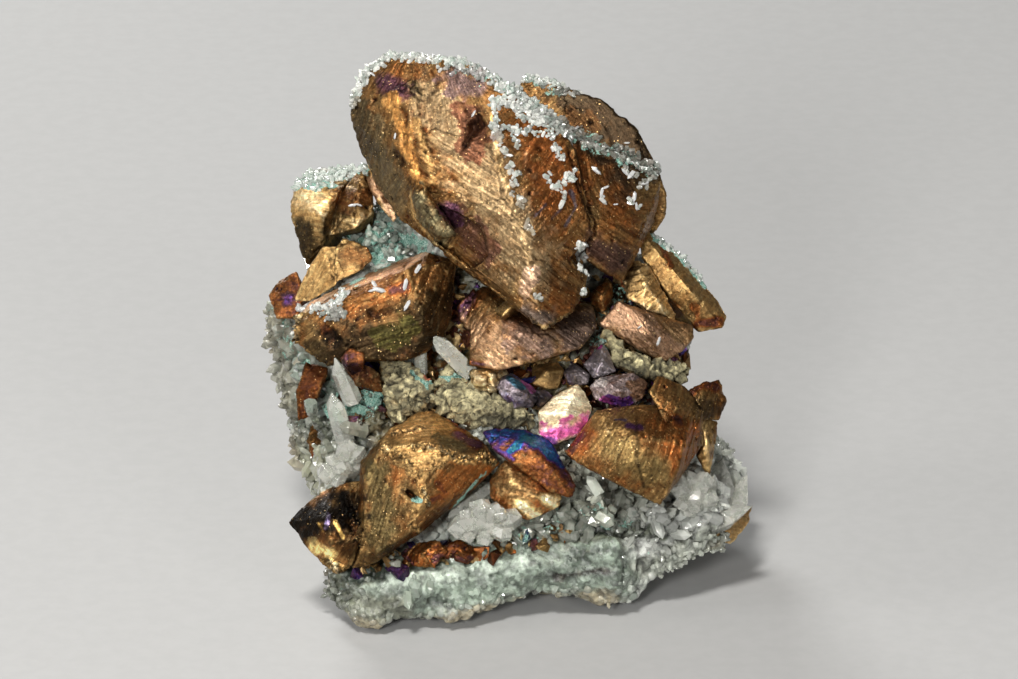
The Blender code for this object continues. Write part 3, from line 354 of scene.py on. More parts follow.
        (1.7, 1, [(-16, 23.8), (-12.2, 23.6), (-6.4, 22.6), (-4.2, 22.2)]),
        (1.6, 0.7, [(-12, 21.6), (-11, 18), (-11.4, 14.6), (-12.2, 13)]),
        (0.55, 0.8, [(-17.6, 9.6), (-10, 13.8), (-5, 18)]), (0.2, 3.4, [(-27, 14), (-22, 15.4)]),
        (0.3, 1.6, [(-20.6, 10.6), (-20.6, 17)]), (7, 0.3, [(-24.4, 14), (-22.4, 14.2), (-21.3, 12.2)]),
        (2.2, 1.2, [(-25, 11.2), (-22, 9)]),
    ], rise=[
        (-0.2, 0.7, [(-13, 18.2), (-11.8, 17.4)]),
    ], crumble=[
        (0.14, 0.34, [(-15, 25.4), (-11, 26.2)]),
        (0.16, 0.8, [(-16, 23.8), (-13.4, 22.6), (-11.6, 20.6)]),
        (0.15, 0.55, [(-12.2, 23.9), (-9, 23.6), (-6.4, 22.4), (-4.2, 22.2)]),
        (0.2, 0.6, [(-3.6, 23), (-2, 21.8)]), (0.1, 0.4, [(-11, 18.6), (-10.3, 16.6)]),
        (0.12, 0.5, [(-12.6, 14), (-11.2, 12.8)]), (0.3, 0.9, [(-20, 16), (-19.6, 12)]),
        (0.06, 0.9, [(-23.4, 9.2), (-21.4, 8)]),
    ], coat=[
        (0.95, 0.4, [(-12.2, 17.3), (-11.3, 17)]), (0.6, 0.3, [(-3, 20.6), (-8.6, 14.6)]),
    ]),
    "orange_crystals": dict(film=[
        (0.64, 0.7, [(-13.6, 9.6), (-12.4, 8.6)]), (0.62, 0.8, [(-9, 9.4), (-4.6, 9)]),
    ], shade=[
        # Painted light on the front of the orange crystals, and a darker line along their top.
        (1.4, 5, [(-13.6, 9), (-5, 9.6)]), (0.6, 1, [(-8.6, 10.4), (-4.4, 10.6)]),
    ]),
    "peacock_crystals": dict(film=[
        (0.82, 1.8, [(-2.4, 25.4), (2, 25.4), (5.4, 24)]),
        (0.92, 0.8, [(0.5, 23.4), (2, 24.5), (4, 24), (5.6, 22.6)]),
        (0.84, 0.9, [(5.6, 23.6), (7, 21.6)]), (0.47, 1.4, [(1.4, 22), (4.6, 20.4), (7, 18.8)]),
        (0.74, 0.5, [(-1.6, 23.6), (0.8, 22.2)]), (0.34, 2.2, [(-0.4, 19.6), (1.6, 18)]),
        (0.05, 1.1, [(1.4, 16.4), (3.4, 15.2)]), (0.06, 0.9, [(4.6, 17.4), (6.2, 16.8)]),
    ], shade=[
        # Painted light on the gold lower part of the peacock crystals and its clean spots.
        (1.45, 2.6, [(-0.4, 19.6), (4, 16)]), (1.4, 1, [(1.4, 16.4), (6, 16.8)]),
    ]),
    "right_front_crystals": dict(tint=[
        ((0.27, 0.19, 0.075), 2.6, [(13.4, 24.4), (16, 22), (18.6, 21)]),
        ((0.09, 0.03, 0.17), 0.45, [(15.6, 26.5), (17.2, 26.3)]),
        ((0.06, 0.06, 0.13), 0.3, [(14, 27.3), (15.2, 27.2)]),
    ], film=[
        (0.5, 1.4, [(9.4, 24), (10.8, 25.4)]), (0.58, 0.6, [(8, 22.8), (9.8, 25.4)]),
        (0.58, 0.7, [(21.6, 27.6), (22.4, 26.8)]), (0.08, 0.5, [(12.6, 26.6), (13.1, 25.6)]),
        (0.46, 1.8, [(20.8, 23), (23.6, 26)]), (0.16, 1, [(26, 26.4), (26, 21.6)]),
        (0.56, 1, [(24.4, 31.4), (27, 31.8)]),
    ], shade=[
        # Painted light on the orange facets at the right and on the upper part; the other two marks
        # darken.
        (1.5, 1.5, [(20.8, 23), (23.6, 26)]), (0.3, 1.6, [(25.4, 29), (28, 28.6)]),
        (1.4, 2.4, [(20.6, 31), (22.6, 29.6)]), (0.4, 0.25, [(16.7, 27.4), (16.6, 22.6), (17.6, 18.8)]),
    ]),
    "right_shelf_crystal": dict(tint=[
        ((0.42, 0.27, 0.18), 6, [(15, 40.6), (19, 38), (23, 36)]),
        ((0.4, 0.25, 0.13), 1.5, [(21, 40), (23.4, 39)]),
    ], film=[
        (0.2, 0.6, [(23.8, 38.6), (21, 35.4)]),
    ]),
    "left_summit_crystals": dict(tint=[
        # Darker brown on the lower sides: partly the crystal's own colour and partly painted shade.
        ((0.12, 0.08, 0.03), 3, [(-27, 51), (-25, 50)]),
        ((0.86, 0.56, 0.36), 0.8, [(-17.6, 58.6), (-15.2, 54)]),
    ], film=[
        # The first mark keeps the top facet clean gold: partly its own pale gold and partly painted light.
        (0.06, 2.2, [(-27, 56.6), (-23.4, 55.6)]), (0.42, 2.4, [(-21.6, 56), (-18.6, 56.4)]),
    ], shade=[
        # Painted light on the lit top facet and painted shade on the lower sides and the right.
        (1.5, 2, [(-26, 57), (-23.4, 56)]), (0.35, 3.2, [(-27, 51), (-25, 46)]),
        (0.35, 2, [(-22.8, 54.6), (-21.6, 50)]), (0.55, 2.4, [(-20.6, 57.4), (-19, 54)]),
    ], coat=[
        (0.9, 1.6, [(-27.6, 58.7), (-24, 59), (-19.6, 60.6)]),
    ], druse=[
        (1, 1.3, [(-27.6, 58.7), (-24, 59.4), (-19.6, 60.4)]),
    ]),
    "tan_crystals": dict(film=[
        (0.38, 1.8, [(-21, 49), (-19, 48.4)]), (0.46, 0.4, [(-18.6, 50), (-17.8, 48.6)]),
    ], shade=[
        (0.7, 2, [(-21, 49), (-19, 48.4)]),
    ]),
    "bright_crystal": dict(tint=[
        # The face turned toward the front: near-white gold, partly its own pale gold and partly a painted
        # highlight.
        ((0.95, 0.86, 0.64), 3.2, [(5, 28.4), (8, 29.4)]),
        ((0.66, 0.07, 0.42), 1.3, [(4.4, 25.4), (7, 25.6), (9.8, 27)]),
        ((0.3, 0.05, 0.45), 0.5, [(3.8, 24.8), (6, 24.4)]),
    ], shade=[
        # The second mark is painted light on the upper face; the first brightens the magenta band.
        (1.6, 1.4, [(4.4, 25.4), (7, 25.6), (9.8, 27)]), (1.3, 1.6, [(6, 29), (8.6, 30)]),
    ]),
    "tan_cube_crystal": dict(shade=[(0.6, 2, [(4, 33), (6, 33)])]),
    "striated_crystal": dict(shade=[(0.4, 1.4, [(16.2, 47), (16, 44.4)])]),
    "long_pale_crystal": dict(film=[
        (0.42, 0.7, [(21.8, 42.4), (22.4, 41)]), (0.46, 0.8, [(24.4, 42.2), (24.8, 41.2)]),
        (0.56, 1, [(25, 40), (27.6, 40)]), (0.5, 0.4, [(21.4, 47.4), (19.8, 50.6)]),
    ], coat=[
        (0.8, 0.9, [(19.6, 51.6), (22.8, 48.9), (26.2, 45)]),
    ], druse=[
        (1, 0.6, [(19.6, 51.6), (22.8, 48.9), (25.6, 45.8)]),
    ]),
    "violet_crystals": dict(tint=[
        ((0.31, 0.27, 0.28), 4, [(0, 31.6), (4, 30.4)]),
        ((0.15, 0.13, 0.13), 1.6, [(4.2, 30.4), (5.6, 29.6)]),
        ((0.06, 0.17, 0.22), 0.4, [(0.2, 32.6), (1.8, 31.6)]),
        ((0.34, 0.1, 0.24), 0.35, [(1.8, 32.8), (3.2, 31.2)]),
    ], film=[
        (0.68, 0.5, [(1.6, 32.6), (3, 31.8)]), (0.5, 0.5, [(3.6, 29), (5, 30)]),
    ], shade=[
        (0.6, 1.2, [(4.4, 30)]),
    ]),
    "lower_slate_crystal": dict(tint=[
        ((0.32, 0.26, 0.25), 5, [(12, 31.6), (15.6, 32)]),
        ((0.26, 0.15, 0.09), 1.6, [(17.6, 31.8), (19.4, 30.6)]),
        ((0.46, 0.42, 0.4), 0.6, [(10.8, 32.4), (12.6, 32.2)]),
        ((0.1, 0.03, 0.22), 0.7, [(13.2, 29.8), (15.4, 29.6)]),
        ((0.34, 0.06, 0.3), 0.4, [(12.4, 30), (13.2, 29.6)]),
    ], film=[
        (0.8, 0.5, [(13.6, 29.8), (15, 29.4)]),
    ]),
    "upper_slate_crystal": dict(tint=[
        ((0.31, 0.28, 0.285), 6, [(12.4, 36.8), (13.2, 33)]),
        ((0.42, 0.05, 0.26), 0.35, [(11.2, 37.6), (11.8, 36.8)]),
    ]),
    "small_slate_crystal": dict(tint=[((0.27, 0.24, 0.235), 6, [(9, 35), (11, 33)])]),
    "purple_side_crystal": dict(film=[
        (0.46, 0.7, [(-31, 43.8)]), (0.72, 0.9, [(-29, 43)]),
    ], shade=[
        (0.6, 2, [(-29.6, 45)]),
    ]),
    "left_blade_crystal": dict(shade=[(0.5, 3, [(-25, 35), (-26, 29)])]),
    "red_crystals": dict(film=[
        (0.47, 0.6, [(-18.6, 33.4), (-17.4, 31.8)]),
    ], shade=[
        (0.4, 2.6, [(-20.6, 33.6), (-16, 32)]),
    ]),
    "olive_crystals": dict(tint=[
        ((0.72, 0.65, 0.39), 9, [(-13, 31), (-6, 30.4), (0, 29)]),
        ((0.5, 0.12, 0.06), 0.4, [(-10.6, 33), (-10.2, 32.4)]),
    ], shade=[
        (0.45, 1.3, [(-3, 27.6), (3.4, 26.8)]), (0.5, 0.8, [(-13.6, 29.4), (-12, 27.8)]),
    ], coat=[
        (0.9, 0.35, [(-12.6, 33.4), (-10.8, 31.6), (-9, 32.6), (-6.2, 33)]),
    ]),
    "olive_ledge_crystals": dict(tint=[
        ((0.64, 0.58, 0.34), 9, [(14, 36), (22, 33)]),
    ], shade=[
        (0.3, 0.6, [(15, 34), (21.6, 32.6)]),
    ]),
}

# The direction of the finest growth lines round some places on a crystal's front: the
# place, then "straight" with the lines' angle in degrees, "fan" with the point that the
# lines spread from, or "ring" with the middle that they run round.
GROWTH = {
    "crown_crystals": [
        ((-17, 66), "fan", (-13, 80)), ((-12, 69), "fan", (-12, 77)), ((-6, 69), "fan", (-10, 78)),
        ((-7, 60), "straight", -30), ((-10, 54), "straight", 60), ((-1, 50), "straight", -38),
        ((3, 63), "straight", 52), ((5, 55), "straight", 48), ((6.5, 44), "straight", -36),
        ((13.5, 57), "ring", (19.5, 61.5)), ((13, 48.6), "straight", -30), ((14, 66), "ring", (4, 60)),
    ],
    "shield_crystal": [((0, 38), "straight", -32), ((7, 39), "straight", -32), ((-5, 41), "straight", 60)],
    "barrel_crystal": [
        ((-18, 43), "straight", 32), ((-24, 40), "straight", 40), ((-15, 38), "straight", 20),
        ((-9, 44), "straight", 70)],
    "corner_crystals": [
        ((-16, 17), "straight", 75), ((-8, 18), "straight", 50), ((-10, 25), "straight", 12),
        ((-23, 13), "straight", 62)],
    "right_shelf_crystal": [((18, 39), "straight", -42)],
    "striated_crystal": [((18.6, 43), "straight", 40), ((16.6, 46), "straight", 15)],
    "long_pale_crystal": [((23, 45), "straight", 55)],
    "tan_crystals": [((-25, 46), "straight", 62), ((-20, 49), "straight", 20)],
    "right_front_crystals": [
        ((14, 23), "straight", 60), ((22, 25), "straight", 70), ((26, 23), "straight", 85)],
}


# Above every crystal, how far a rice-shaped grain is lifted off its face, in millimetres,
# and how much of the length below it has.
ABOVE_BOARD = 60
RICE_LIFT = 0.12
RICE_SHARE = 0.8
RICE_SHADE = 0.6
# Single rice-shaped quartz grains that lie on a crystal's face, as (across, up, turn in
# degrees, length in millimetres).
RICE = {
    "barrel_crystal": [
        (-11.8, 46.9, 48, 1.5), (-13.3, 44.9, 78, 1.5), (-13.1, 42.2, 60, 1.4),
        (-17.3, 44.9, -60, 1.4), (-16.7, 44.2, -25, 1.7), (-17.6, 44.1, 10, 1.0)],
    "crown_crystals": [
        (11.4, 59.8, -40, 1.5), (12.1, 56.9, 80, 1.2), (12.7, 57.6, 20, 0.9),
        (15.2, 59.6, -30, 1.3), (16, 59.3, 40, 1.6), (17.8, 58.2, 15, 1.3),
        (16.4, 56.4, 75, 1.3), (16.7, 55.2, -70, 1.1), (14, 55.4, 10, 0.7),
        (-14.6, 64.2, 70, 0.8), (-17.6, 72.4, -40, 0.9), (-4.4, 67, 55, 0.9),
        (8.9, 65.6, 20, 1.0), (9.6, 65, -40, 0.8), (15.6, 63.6, 0, 0.7)],
    "right_shelf_crystal": [(19.6, 37.6, 80, 1.2), (17.2, 39.4, 30, 0.6)],
    "left_summit_crystals": [(-20.4, 55.4, 10, 1.1), (-19.6, 55.5, -20, 0.8)],
}


# Places and noise

def to_board(places):
    """Points in metres as (across, up, out) on the leaning board, in millimetres."""
    across, back, height = (places / MM).T
    back = back - BOARD_FOOT_Y
    up = back * math.sin(BOARD_LEAN) + height * math.cos(BOARD_LEAN)
    out = height * math.sin(BOARD_LEAN) - back * math.cos(BOARD_LEAN)
    return np.stack([across, up, out], axis=1)


def from_board(across, up, out):
    """A place on the board as a point in metres."""
    back = up * math.sin(BOARD_LEAN) - out * math.cos(BOARD_LEAN) + BOARD_FOOT_Y
    height = up * math.cos(BOARD_LEAN) + out * math.sin(BOARD_LEAN)
    return Vector((across, back, height)) * MM


def board_direction(places):
    """Directions as (across, up, out) on the board."""
    return to_board(places * MM + np.array(from_board(0, 0, 0)))


def smooth_step(low, high, value):
    """A value's way from low to high, eased in and out, from 0 to 1."""
    part = np.clip((value - low) / (high - low), 0, 1)
    return part * part * (3 - 2 * part)


def scatter(cell, seed):
    """A number from 0 to 1 for each whole-numbered cell, the same on every run."""
    cell = cell.astype(np.int64)
    mixed = cell[:, 0] * 73856093 ^ cell[:, 1] * 19349663 ^ cell[:, 2] * 83492791
    mixed = (mixed ^ (seed * 374761393)) & 0x7FFFFFFF
    mixed = (mixed ^ (mixed >> 13)) * 1274126177 & 0x7FFFFFFF
    mixed = (mixed ^ (mixed >> 15)) * 668265263 & 0x7FFFFFFF
    return ((mixed ^ (mixed >> 14)) & 0xFFFFFF) / 0x1000000


def waves(places, seed, octaves=1):
    """Smooth noise from -1 to 1, with finer and weaker layers on top."""
    total, weight, strength = 0, 0, 1
    for octave in range(octaves):
        cell = np.floor(places)
        part = places - cell
        part = part * part * (3 - 2 * part)
        layer = 0
        for corner in itertools.product((0, 1), repeat=3):
            corner = np.array(corner)
            share = np.prod(np.where(corner == 1, part, 1 - part), axis=1)
            layer = layer + share * scatter(cell + corner, seed + octave)
        total = total + (layer * 2 - 1) * strength
        weight += strength
        strength *= 0.5
        places = places * 2.03 + 17.3
    return total / weight * 1.6


def nearest_cells(places, seed):
    """For each place, how far the nearest scattered point is, how much further the next
    one is, the way to the nearest, and a number of its own for that cell."""
    base = np.floor(places)
    count = len(places)
    first, second = np.full(count, 9.0), np.full(count, 9.0)
    toward, own = np.zeros((count, 3)), np.zeros(count)
    for step in itertools.product((-1, 0, 1), repeat=3):
        cell = base + np.array(step)
        point = cell + np.stack([scatter(cell, seed + axis) for axis in range(3)], axis=1)
        away = places - point
        distance = np.sqrt((away ** 2).sum(axis=1))
        nearer = distance < first
        second = np.where(nearer, first, np.minimum(second, distance))
        first = np.where(nearer, distance, first)
        toward[nearer] = away[nearer]
        own[nearer] = scatter(cell, seed + 7)[nearer]
    return first, second - first, toward, own


def distance_to_line(points, line):
    """How far points of the board are from a line through some places, in millimetres."""
    line = np.array(line, float)
    if len(line) == 1:
        return np.sqrt(((points - line[0]) ** 2).sum(axis=1))
    best = np.full(len(points), 1e9)
    for start, end in zip(line[:-1], line[1:]):
        way = end - start
        along = np.clip(((points - start) @ way) / (way @ way), 0, 1)
        gap = points - start - along[:, None] * way
        best = np.minimum(best, np.sqrt((gap ** 2).sum(axis=1)))
    return best


# Meshes

def seed_of(name):
    """A number of its own for a piece, the same on every run."""
    return sum(ord(letter) * (index + 3) for index, letter in enumerate(name)) % 9973


def copied_node(name):
    """A copy of a CAD node's mesh with its loose triangles merged."""
    shape = bmesh.new()
    shape.from_mesh(frame["nodes"][name].data)
    bmesh.ops.remove_doubles(shape, verts=shape.verts, dist=0.000002)
    return shape


def object_of(shape_or_mesh, name):
    """An object in the scene from a mesh, or from a bmesh that it frees."""
    mesh = shape_or_mesh
    if isinstance(shape_or_mesh, bmesh.types.BMesh):
        mesh = bpy.data.meshes.new(name)
        shape_or_mesh.to_mesh(mesh)
        shape_or_mesh.free()
    made = bpy.data.objects.new(name, mesh)
    bpy.context.scene.collection.objects.link(made)
    return made


def settle(target):
    """Turns an object and its modifiers into a plain mesh."""
    graph = bpy.context.evaluated_depsgraph_get()
    mesh = bpy.data.meshes.new_from_object(target.evaluated_get(graph))
    target.modifiers.clear()
    old = target.data
    target.data = mesh
    bpy.data.meshes.remove(old)
    return target


def triangle_mesh(name, places, faces):
    """A mesh from arrays of places and of triangles."""
    mesh = bpy.data.meshes.new(name)
    mesh.vertices.add(len(places))
    mesh.vertices.foreach_set("co", places.ravel())
    mesh.loops.add(faces.size)
    mesh.loops.foreach_set("vertex_index", faces.ravel().astype(np.int32))
    mesh.polygons.add(len(faces))
    mesh.polygons.foreach_set("loop_start", np.arange(0, faces.size, 3, dtype=np.int32))
    mesh.update(calc_edges=True)
    return mesh


def joined_edges(faces):
    """The edges of a triangle mesh, and which edge runs from each corner of each face."""
    pairs = np.sort(np.stack([faces, np.roll(faces, -1, axis=1)], axis=2).reshape(-1, 2), axis=1)
    codes = pairs[:, 0].astype(np.int64) * (int(faces.max()) + 1) + pairs[:, 1]
    _, first, which = np.unique(codes, return_index=True, return_inverse=True)
    return pairs[first], which.reshape(-1, 3)


def cut_finer(places, faces, longest):
    """Halves the long edges of a triangle mesh until none is longer than a length, which
    is greater on the faces that look away from the front."""
    while True:
        corners = places[faces]
        facing = np.cross(corners[:, 1] - corners[:, 0], corners[:, 2] - corners[:, 0])
        facing = facing / np.maximum(np.linalg.norm(facing, axis=1), 1e-18)[:, None]
        limits = np.where(board_direction(facing)[:, 2] > FACES_AWAY, longest, longest * BEHIND_COARSER)
        edges, which = joined_edges(faces)
        lengths = np.linalg.norm(places[edges[:, 0]] - places[edges[:, 1]], axis=1)
        beside = np.full(len(edges), np.inf)
        np.minimum.at(beside, which.ravel(), np.repeat(lengths[which].max(axis=1), 3))
        allowed = np.full(len(edges), np.inf)
        np.minimum.at(allowed, which.ravel(), np.repeat(limits, 3))
        halved = (lengths > allowed) & (lengths > SPLIT_SHARE * beside)
        if not halved.any():
            return places, faces
        middles = np.full(len(edges), -1)
        middles[halved] = len(places) + np.arange(np.count_nonzero(halved))
        places = np.vstack([places, places[edges[halved]].mean(axis=1)])
        mids = middles[which]
        count = (mids >= 0).sum(axis=1)
        first = np.where(
            count == 2, (np.argmin(mids >= 0, axis=1) + 1) % 3, np.argmax(mids >= 0, axis=1))
        order = (first[:, None] + np.arange(3)) % 3
        a, b, c = np.take_along_axis(faces, order, 1).T
        m, n, o = np.take_along_axis(mids, order, 1).T
        cuts = {0: [(a, b, c)], 1: [(a, m, c), (m, b, c)], 2: [(m, b, n), (a, m, n), (a, n, c)],
                3: [(a, m, o), (m, b, n), (n, c, o), (m, n, o)]}
        faces = np.concatenate([np.stack([column[count == number] for column in corners], axis=1)
                                for number, sets in cuts.items() for corners in sets])


def mesh_arrays(mesh):
    """A mesh of triangles as an array of places and one of faces."""
    places, faces = np.empty(len(mesh.vertices) * 3), np.empty(len(mesh.loops), np.int32)
    mesh.vertices.foreach_get("co", places)
    mesh.loops.foreach_get("vertex_index", faces)
    return places.reshape(-1, 3), faces.reshape(-1, 3)


def edge_points(shape, least_angle, spacing, hollow):
    """Points along the edges where two faces meet at more than an angle."""
    points = []
    for edge in shape.edges:
        if len(edge.link_faces) != 2 or abs(edge.calc_face_angle_signed(0)) < least_angle:
            continue
        if (edge.calc_face_angle_signed(0) < 0) == hollow:
            first, last = edge.verts[0].co, edge.verts[1].co
            count = max(2, int((last - first).length / spacing))
            points += [first.lerp(last, index / count) for index in range(count + 1)]
    return points


class Skin:
    """The fine skin of one piece: its points in metres, and which of them are joined."""

    def __init__(self, name, label, places, faces):
        self.name = name
        self.mesh = triangle_mesh(label, places, faces)
        self.object = object_of(self.mesh, label)
        self.places = places
        self.count = len(places)
        self.starts, self.ends = joined_edges(faces)[0].T
        self.joined = np.bincount(self.starts, minlength=self.count)
        self.joined = self.joined + np.bincount(self.ends, minlength=self.count)

    def distances(self, points):
        """Millimetres from each point of the skin to the nearest of some points."""
        if not points:
            return np.full(self.count, FAR)
        tree = kdtree.KDTree(len(points))
        for index, point in enumerate(points):
            tree.insert(point, index)
        tree.balance()
        return np.array([tree.find(place)[2] for place in self.places]) / MM

    def neighbour_mean(self, values):
        """The mean of a value, or of each column, over the points joined to each point."""
        columns = values.reshape(self.count, -1).T
        sums = [np.bincount(self.starts, column[self.ends], self.count)
                + np.bincount(self.ends, column[self.starts], self.count) for column in columns]
        mean = np.stack(sums, axis=1) / np.maximum(self.joined, 1)[:, None]
        return mean.reshape(values.shape)

    def soften(self, steps, share):
        """Evens out the skin, by a share that may differ from place to place."""
        for _ in range(steps):
            self.places = self.places + share[:, None] * (self.neighbour_mean(self.places) - self.places)

    def normals(self):
        """The normals of the points where they are now."""
        self.mesh.vertices.foreach_set("co", self.places.ravel())
        self.mesh.update()
        flat = np.empty(self.count * 3)
        self.mesh.vertices.foreach_get("normal", flat)
        return flat.reshape(-1, 3)

    def hollowness(self, rounds):
        """How far each point lies under the mean of the skin round it, in millimetres."""
        mean = self.places
        for _ in range(rounds):
            mean = self.neighbour_mean(mean)
        return ((mean - self.places) * self.normals()).sum(axis=1) / MM

    def raise_by(self, height):
        """Moves the skin out along its normals by millimetres."""
        self.places = self.places + self.normals() * height[:, None] * MM

    def keep(self, name, values):
        """Keeps a number or a colour for each point on the mesh, for the materials."""
        kind = "FLOAT_COLOR" if values.ndim == 2 else "FLOAT"
        field = "color" if values.ndim == 2 else "value"
        layer = self.mesh.attributes.new(name, kind, "POINT")
        layer.data.foreach_set(field, values.astype(np.float32).ravel())

    def finish(self, material):
        """Gives the piece its material, and puts it in its CAD node's place."""
        self.normals()
        self.mesh.polygons.foreach_set("use_smooth", np.ones(len(self.mesh.polygons), bool))
        self.mesh.materials.clear()
        self.mesh.materials.append(material)
        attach(self.object, "root")
        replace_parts(self.object, self.name)
        return self.object


def crystal_skin(name, grid):
    """A crystal's flat faces cut fine, and how far each point is from a ridge or a groove."""
    shape = copied_node(name)
    bmesh.ops.triangulate(shape, faces=shape.faces)
    lists = [edge_points(shape, SHARP_EDGE, grid, hollow) for hollow in (False, True)]
    coarse = bpy.data.meshes.new(name)
    shape.to_mesh(coarse)
    shape.free()
    skin = Skin(name, name.replace("_crystal", "_chalcopyrite"), *cut_finer(*mesh_arrays(coarse), grid))
    bpy.data.meshes.remove(coarse)
    return skin, skin.distances(lists[0]), skin.distances(lists[1])


def mound_skin(name, label, grid):
    """The quartz mound under one even skin of small faces."""
    rough = object_of(copied_node(name), "rough_mound")
    remesh = rough.modifiers.new("skin", "REMESH")
    remesh.mode = "VOXEL"
    remesh.voxel_size = grid
    rough.modifiers.new("triangles", "TRIANGULATE")
    settle(rough)
    skin = Skin(name, label, *mesh_arrays(rough.data))
    bpy.data.objects.remove(rough)
    return skin


TETRAHEDRON = np.array([(1, 1, 1), (1, -1, -1), (-1, 1, -1), (-1, -1, 1)]) / math.sqrt(3)


def growth_lines(places, normals, turn):
    """How far each place is across and along the growth lines, in millimetres, and on
    which set of faces it is. Each set of the crystal's faces has lines of its own way."""
    rotation = np.array(Euler([math.radians(angle) for angle in turn]).to_matrix())
    faces = TETRAHEDRON @ rotation.T
    chosen = np.argmax(normals @ faces.T, axis=1)
    across = np.cross(faces, np.roll(faces, 1, axis=0))
    across = across / np.linalg.norm(across, axis=1)[:, None]
    along = np.cross(faces, across)
    return (places * across[chosen]).sum(axis=1), (places * along[chosen]).sum(axis=1), chosen


def front_lines(name, places, seed):
    """The growth lines of a crystal's front, as its list of directions says."""
    spots = to_board(places * MM)[:, :2]
    ragged = np.stack([waves(places / 2.0, seed + part, 2) for part in (41, 43)], axis=1)
    best = np.full(len(places), FAR)
    across, along = np.zeros(len(places)), np.zeros(len(places))
    chosen = np.zeros(len(places), int)
    for index, (centre, kind, detail) in enumerate(GROWTH[name]):
        away = np.sqrt(((spots + ragged - np.array(centre)) ** 2).sum(axis=1))
        if kind == "straight":
            angle = math.radians(detail)
            own = spots @ np.array((-math.sin(angle), math.cos(angle)))
            other = spots @ np.array((math.cos(angle), math.sin(angle)))
        else:
            way = spots - np.array(detail)
            reach = np.sqrt((way ** 2).sum(axis=1))
            turned = np.arctan2(way[:, 0], -way[:, 1]) * FAN_SPREAD
            own, other = (reach, turned) if kind == "ring" else (turned, reach)
        nearer = away < best
        best, chosen = np.where(nearer, away, best), np.where(nearer, index, chosen)
        across, along = np.where(nearer, own, across), np.where(nearer, other, along)
    return across, along, chosen


def crystal_growth(name, turn, places, normals, fronts, seed):
    """Across and along a crystal's growth lines, and the set of faces of each place."""
    across, along, chosen = growth_lines(places, normals, turn)
    if name in GROWTH:
        front = fronts > 0.5
        own_across, own_along, own_chosen = front_lines(name, places, seed)
        across, along = np.where(front, own_across, across), np.where(front, own_along, along)
        chosen = np.where(front, own_chosen + len(TETRAHEDRON), chosen)
    return across + waves(places / 5.0, seed + 31, 2) * PLATE_BEND, along, chosen


def laths(growth, size, seed):
    """Long plates side by side, as growth leaves them: how far each place is across its own
    plate, and a number of the plate's own."""
    across, along, chosen = growth
    width, length = size
    places = np.stack([across / width, along / length, chosen * 3.0 + 0.5], axis=1)
    _, _, toward, own = nearest_cells(places, seed)
    return toward[:, 0], own


def shards(places, size, tilt, seed):
    """A skin of little facets, each one tilted its own way, from about -0.5 to 0.5, with
    how near each place is to its facet's edge and a number of the facet's own."""
    first, gap, toward, own = nearest_cells(places / size, seed)
    lean = np.stack([own, (own * 7.3) % 1, (own * 13.7) % 1], axis=1) - 0.5
    return (toward * lean).sum(axis=1) * tilt + (0.5 - first) * 0.4, gap, own


def three_waves(places, seed):
    """Smooth noise that moves places in all three directions."""
    return np.stack([waves(places, seed + axis, 2) for axis in range(3)], axis=1)


def wrinkles(places, size, seed):
    """Fine crinkled ridges, from 0 in the grooves to 1 on the crests."""
    bent = places / size + three_waves(places / size / 1.7, seed)
    return 1 - np.minimum(1, np.abs(waves(bent, seed + 3, 2)) * 2.2)


def piece_marks(skin, fronts, seed):
    """For each kind of mark, the values of a piece's own marks and how strongly each one
    shows at each point."""
    board_places = to_board(skin.places)[:, :2]
    ragged = waves(skin.places / MM / 1.2, seed + 5, 5)
    found = {kind: [] for kind in ("tint", "film", "shade", "rise", "crumble", "coat", "druse")}
    for kind, rows in MARKS.get(skin.name, {}).items():
        for value, reach, line in rows:
            away = distance_to_line(board_places, line) / reach + ragged * 0.55
            strength = 1 - smooth_step(0.3, 1.2, away)
            found[kind].append((value, strength if kind in ("druse", "coat") else strength * fronts))
    return found


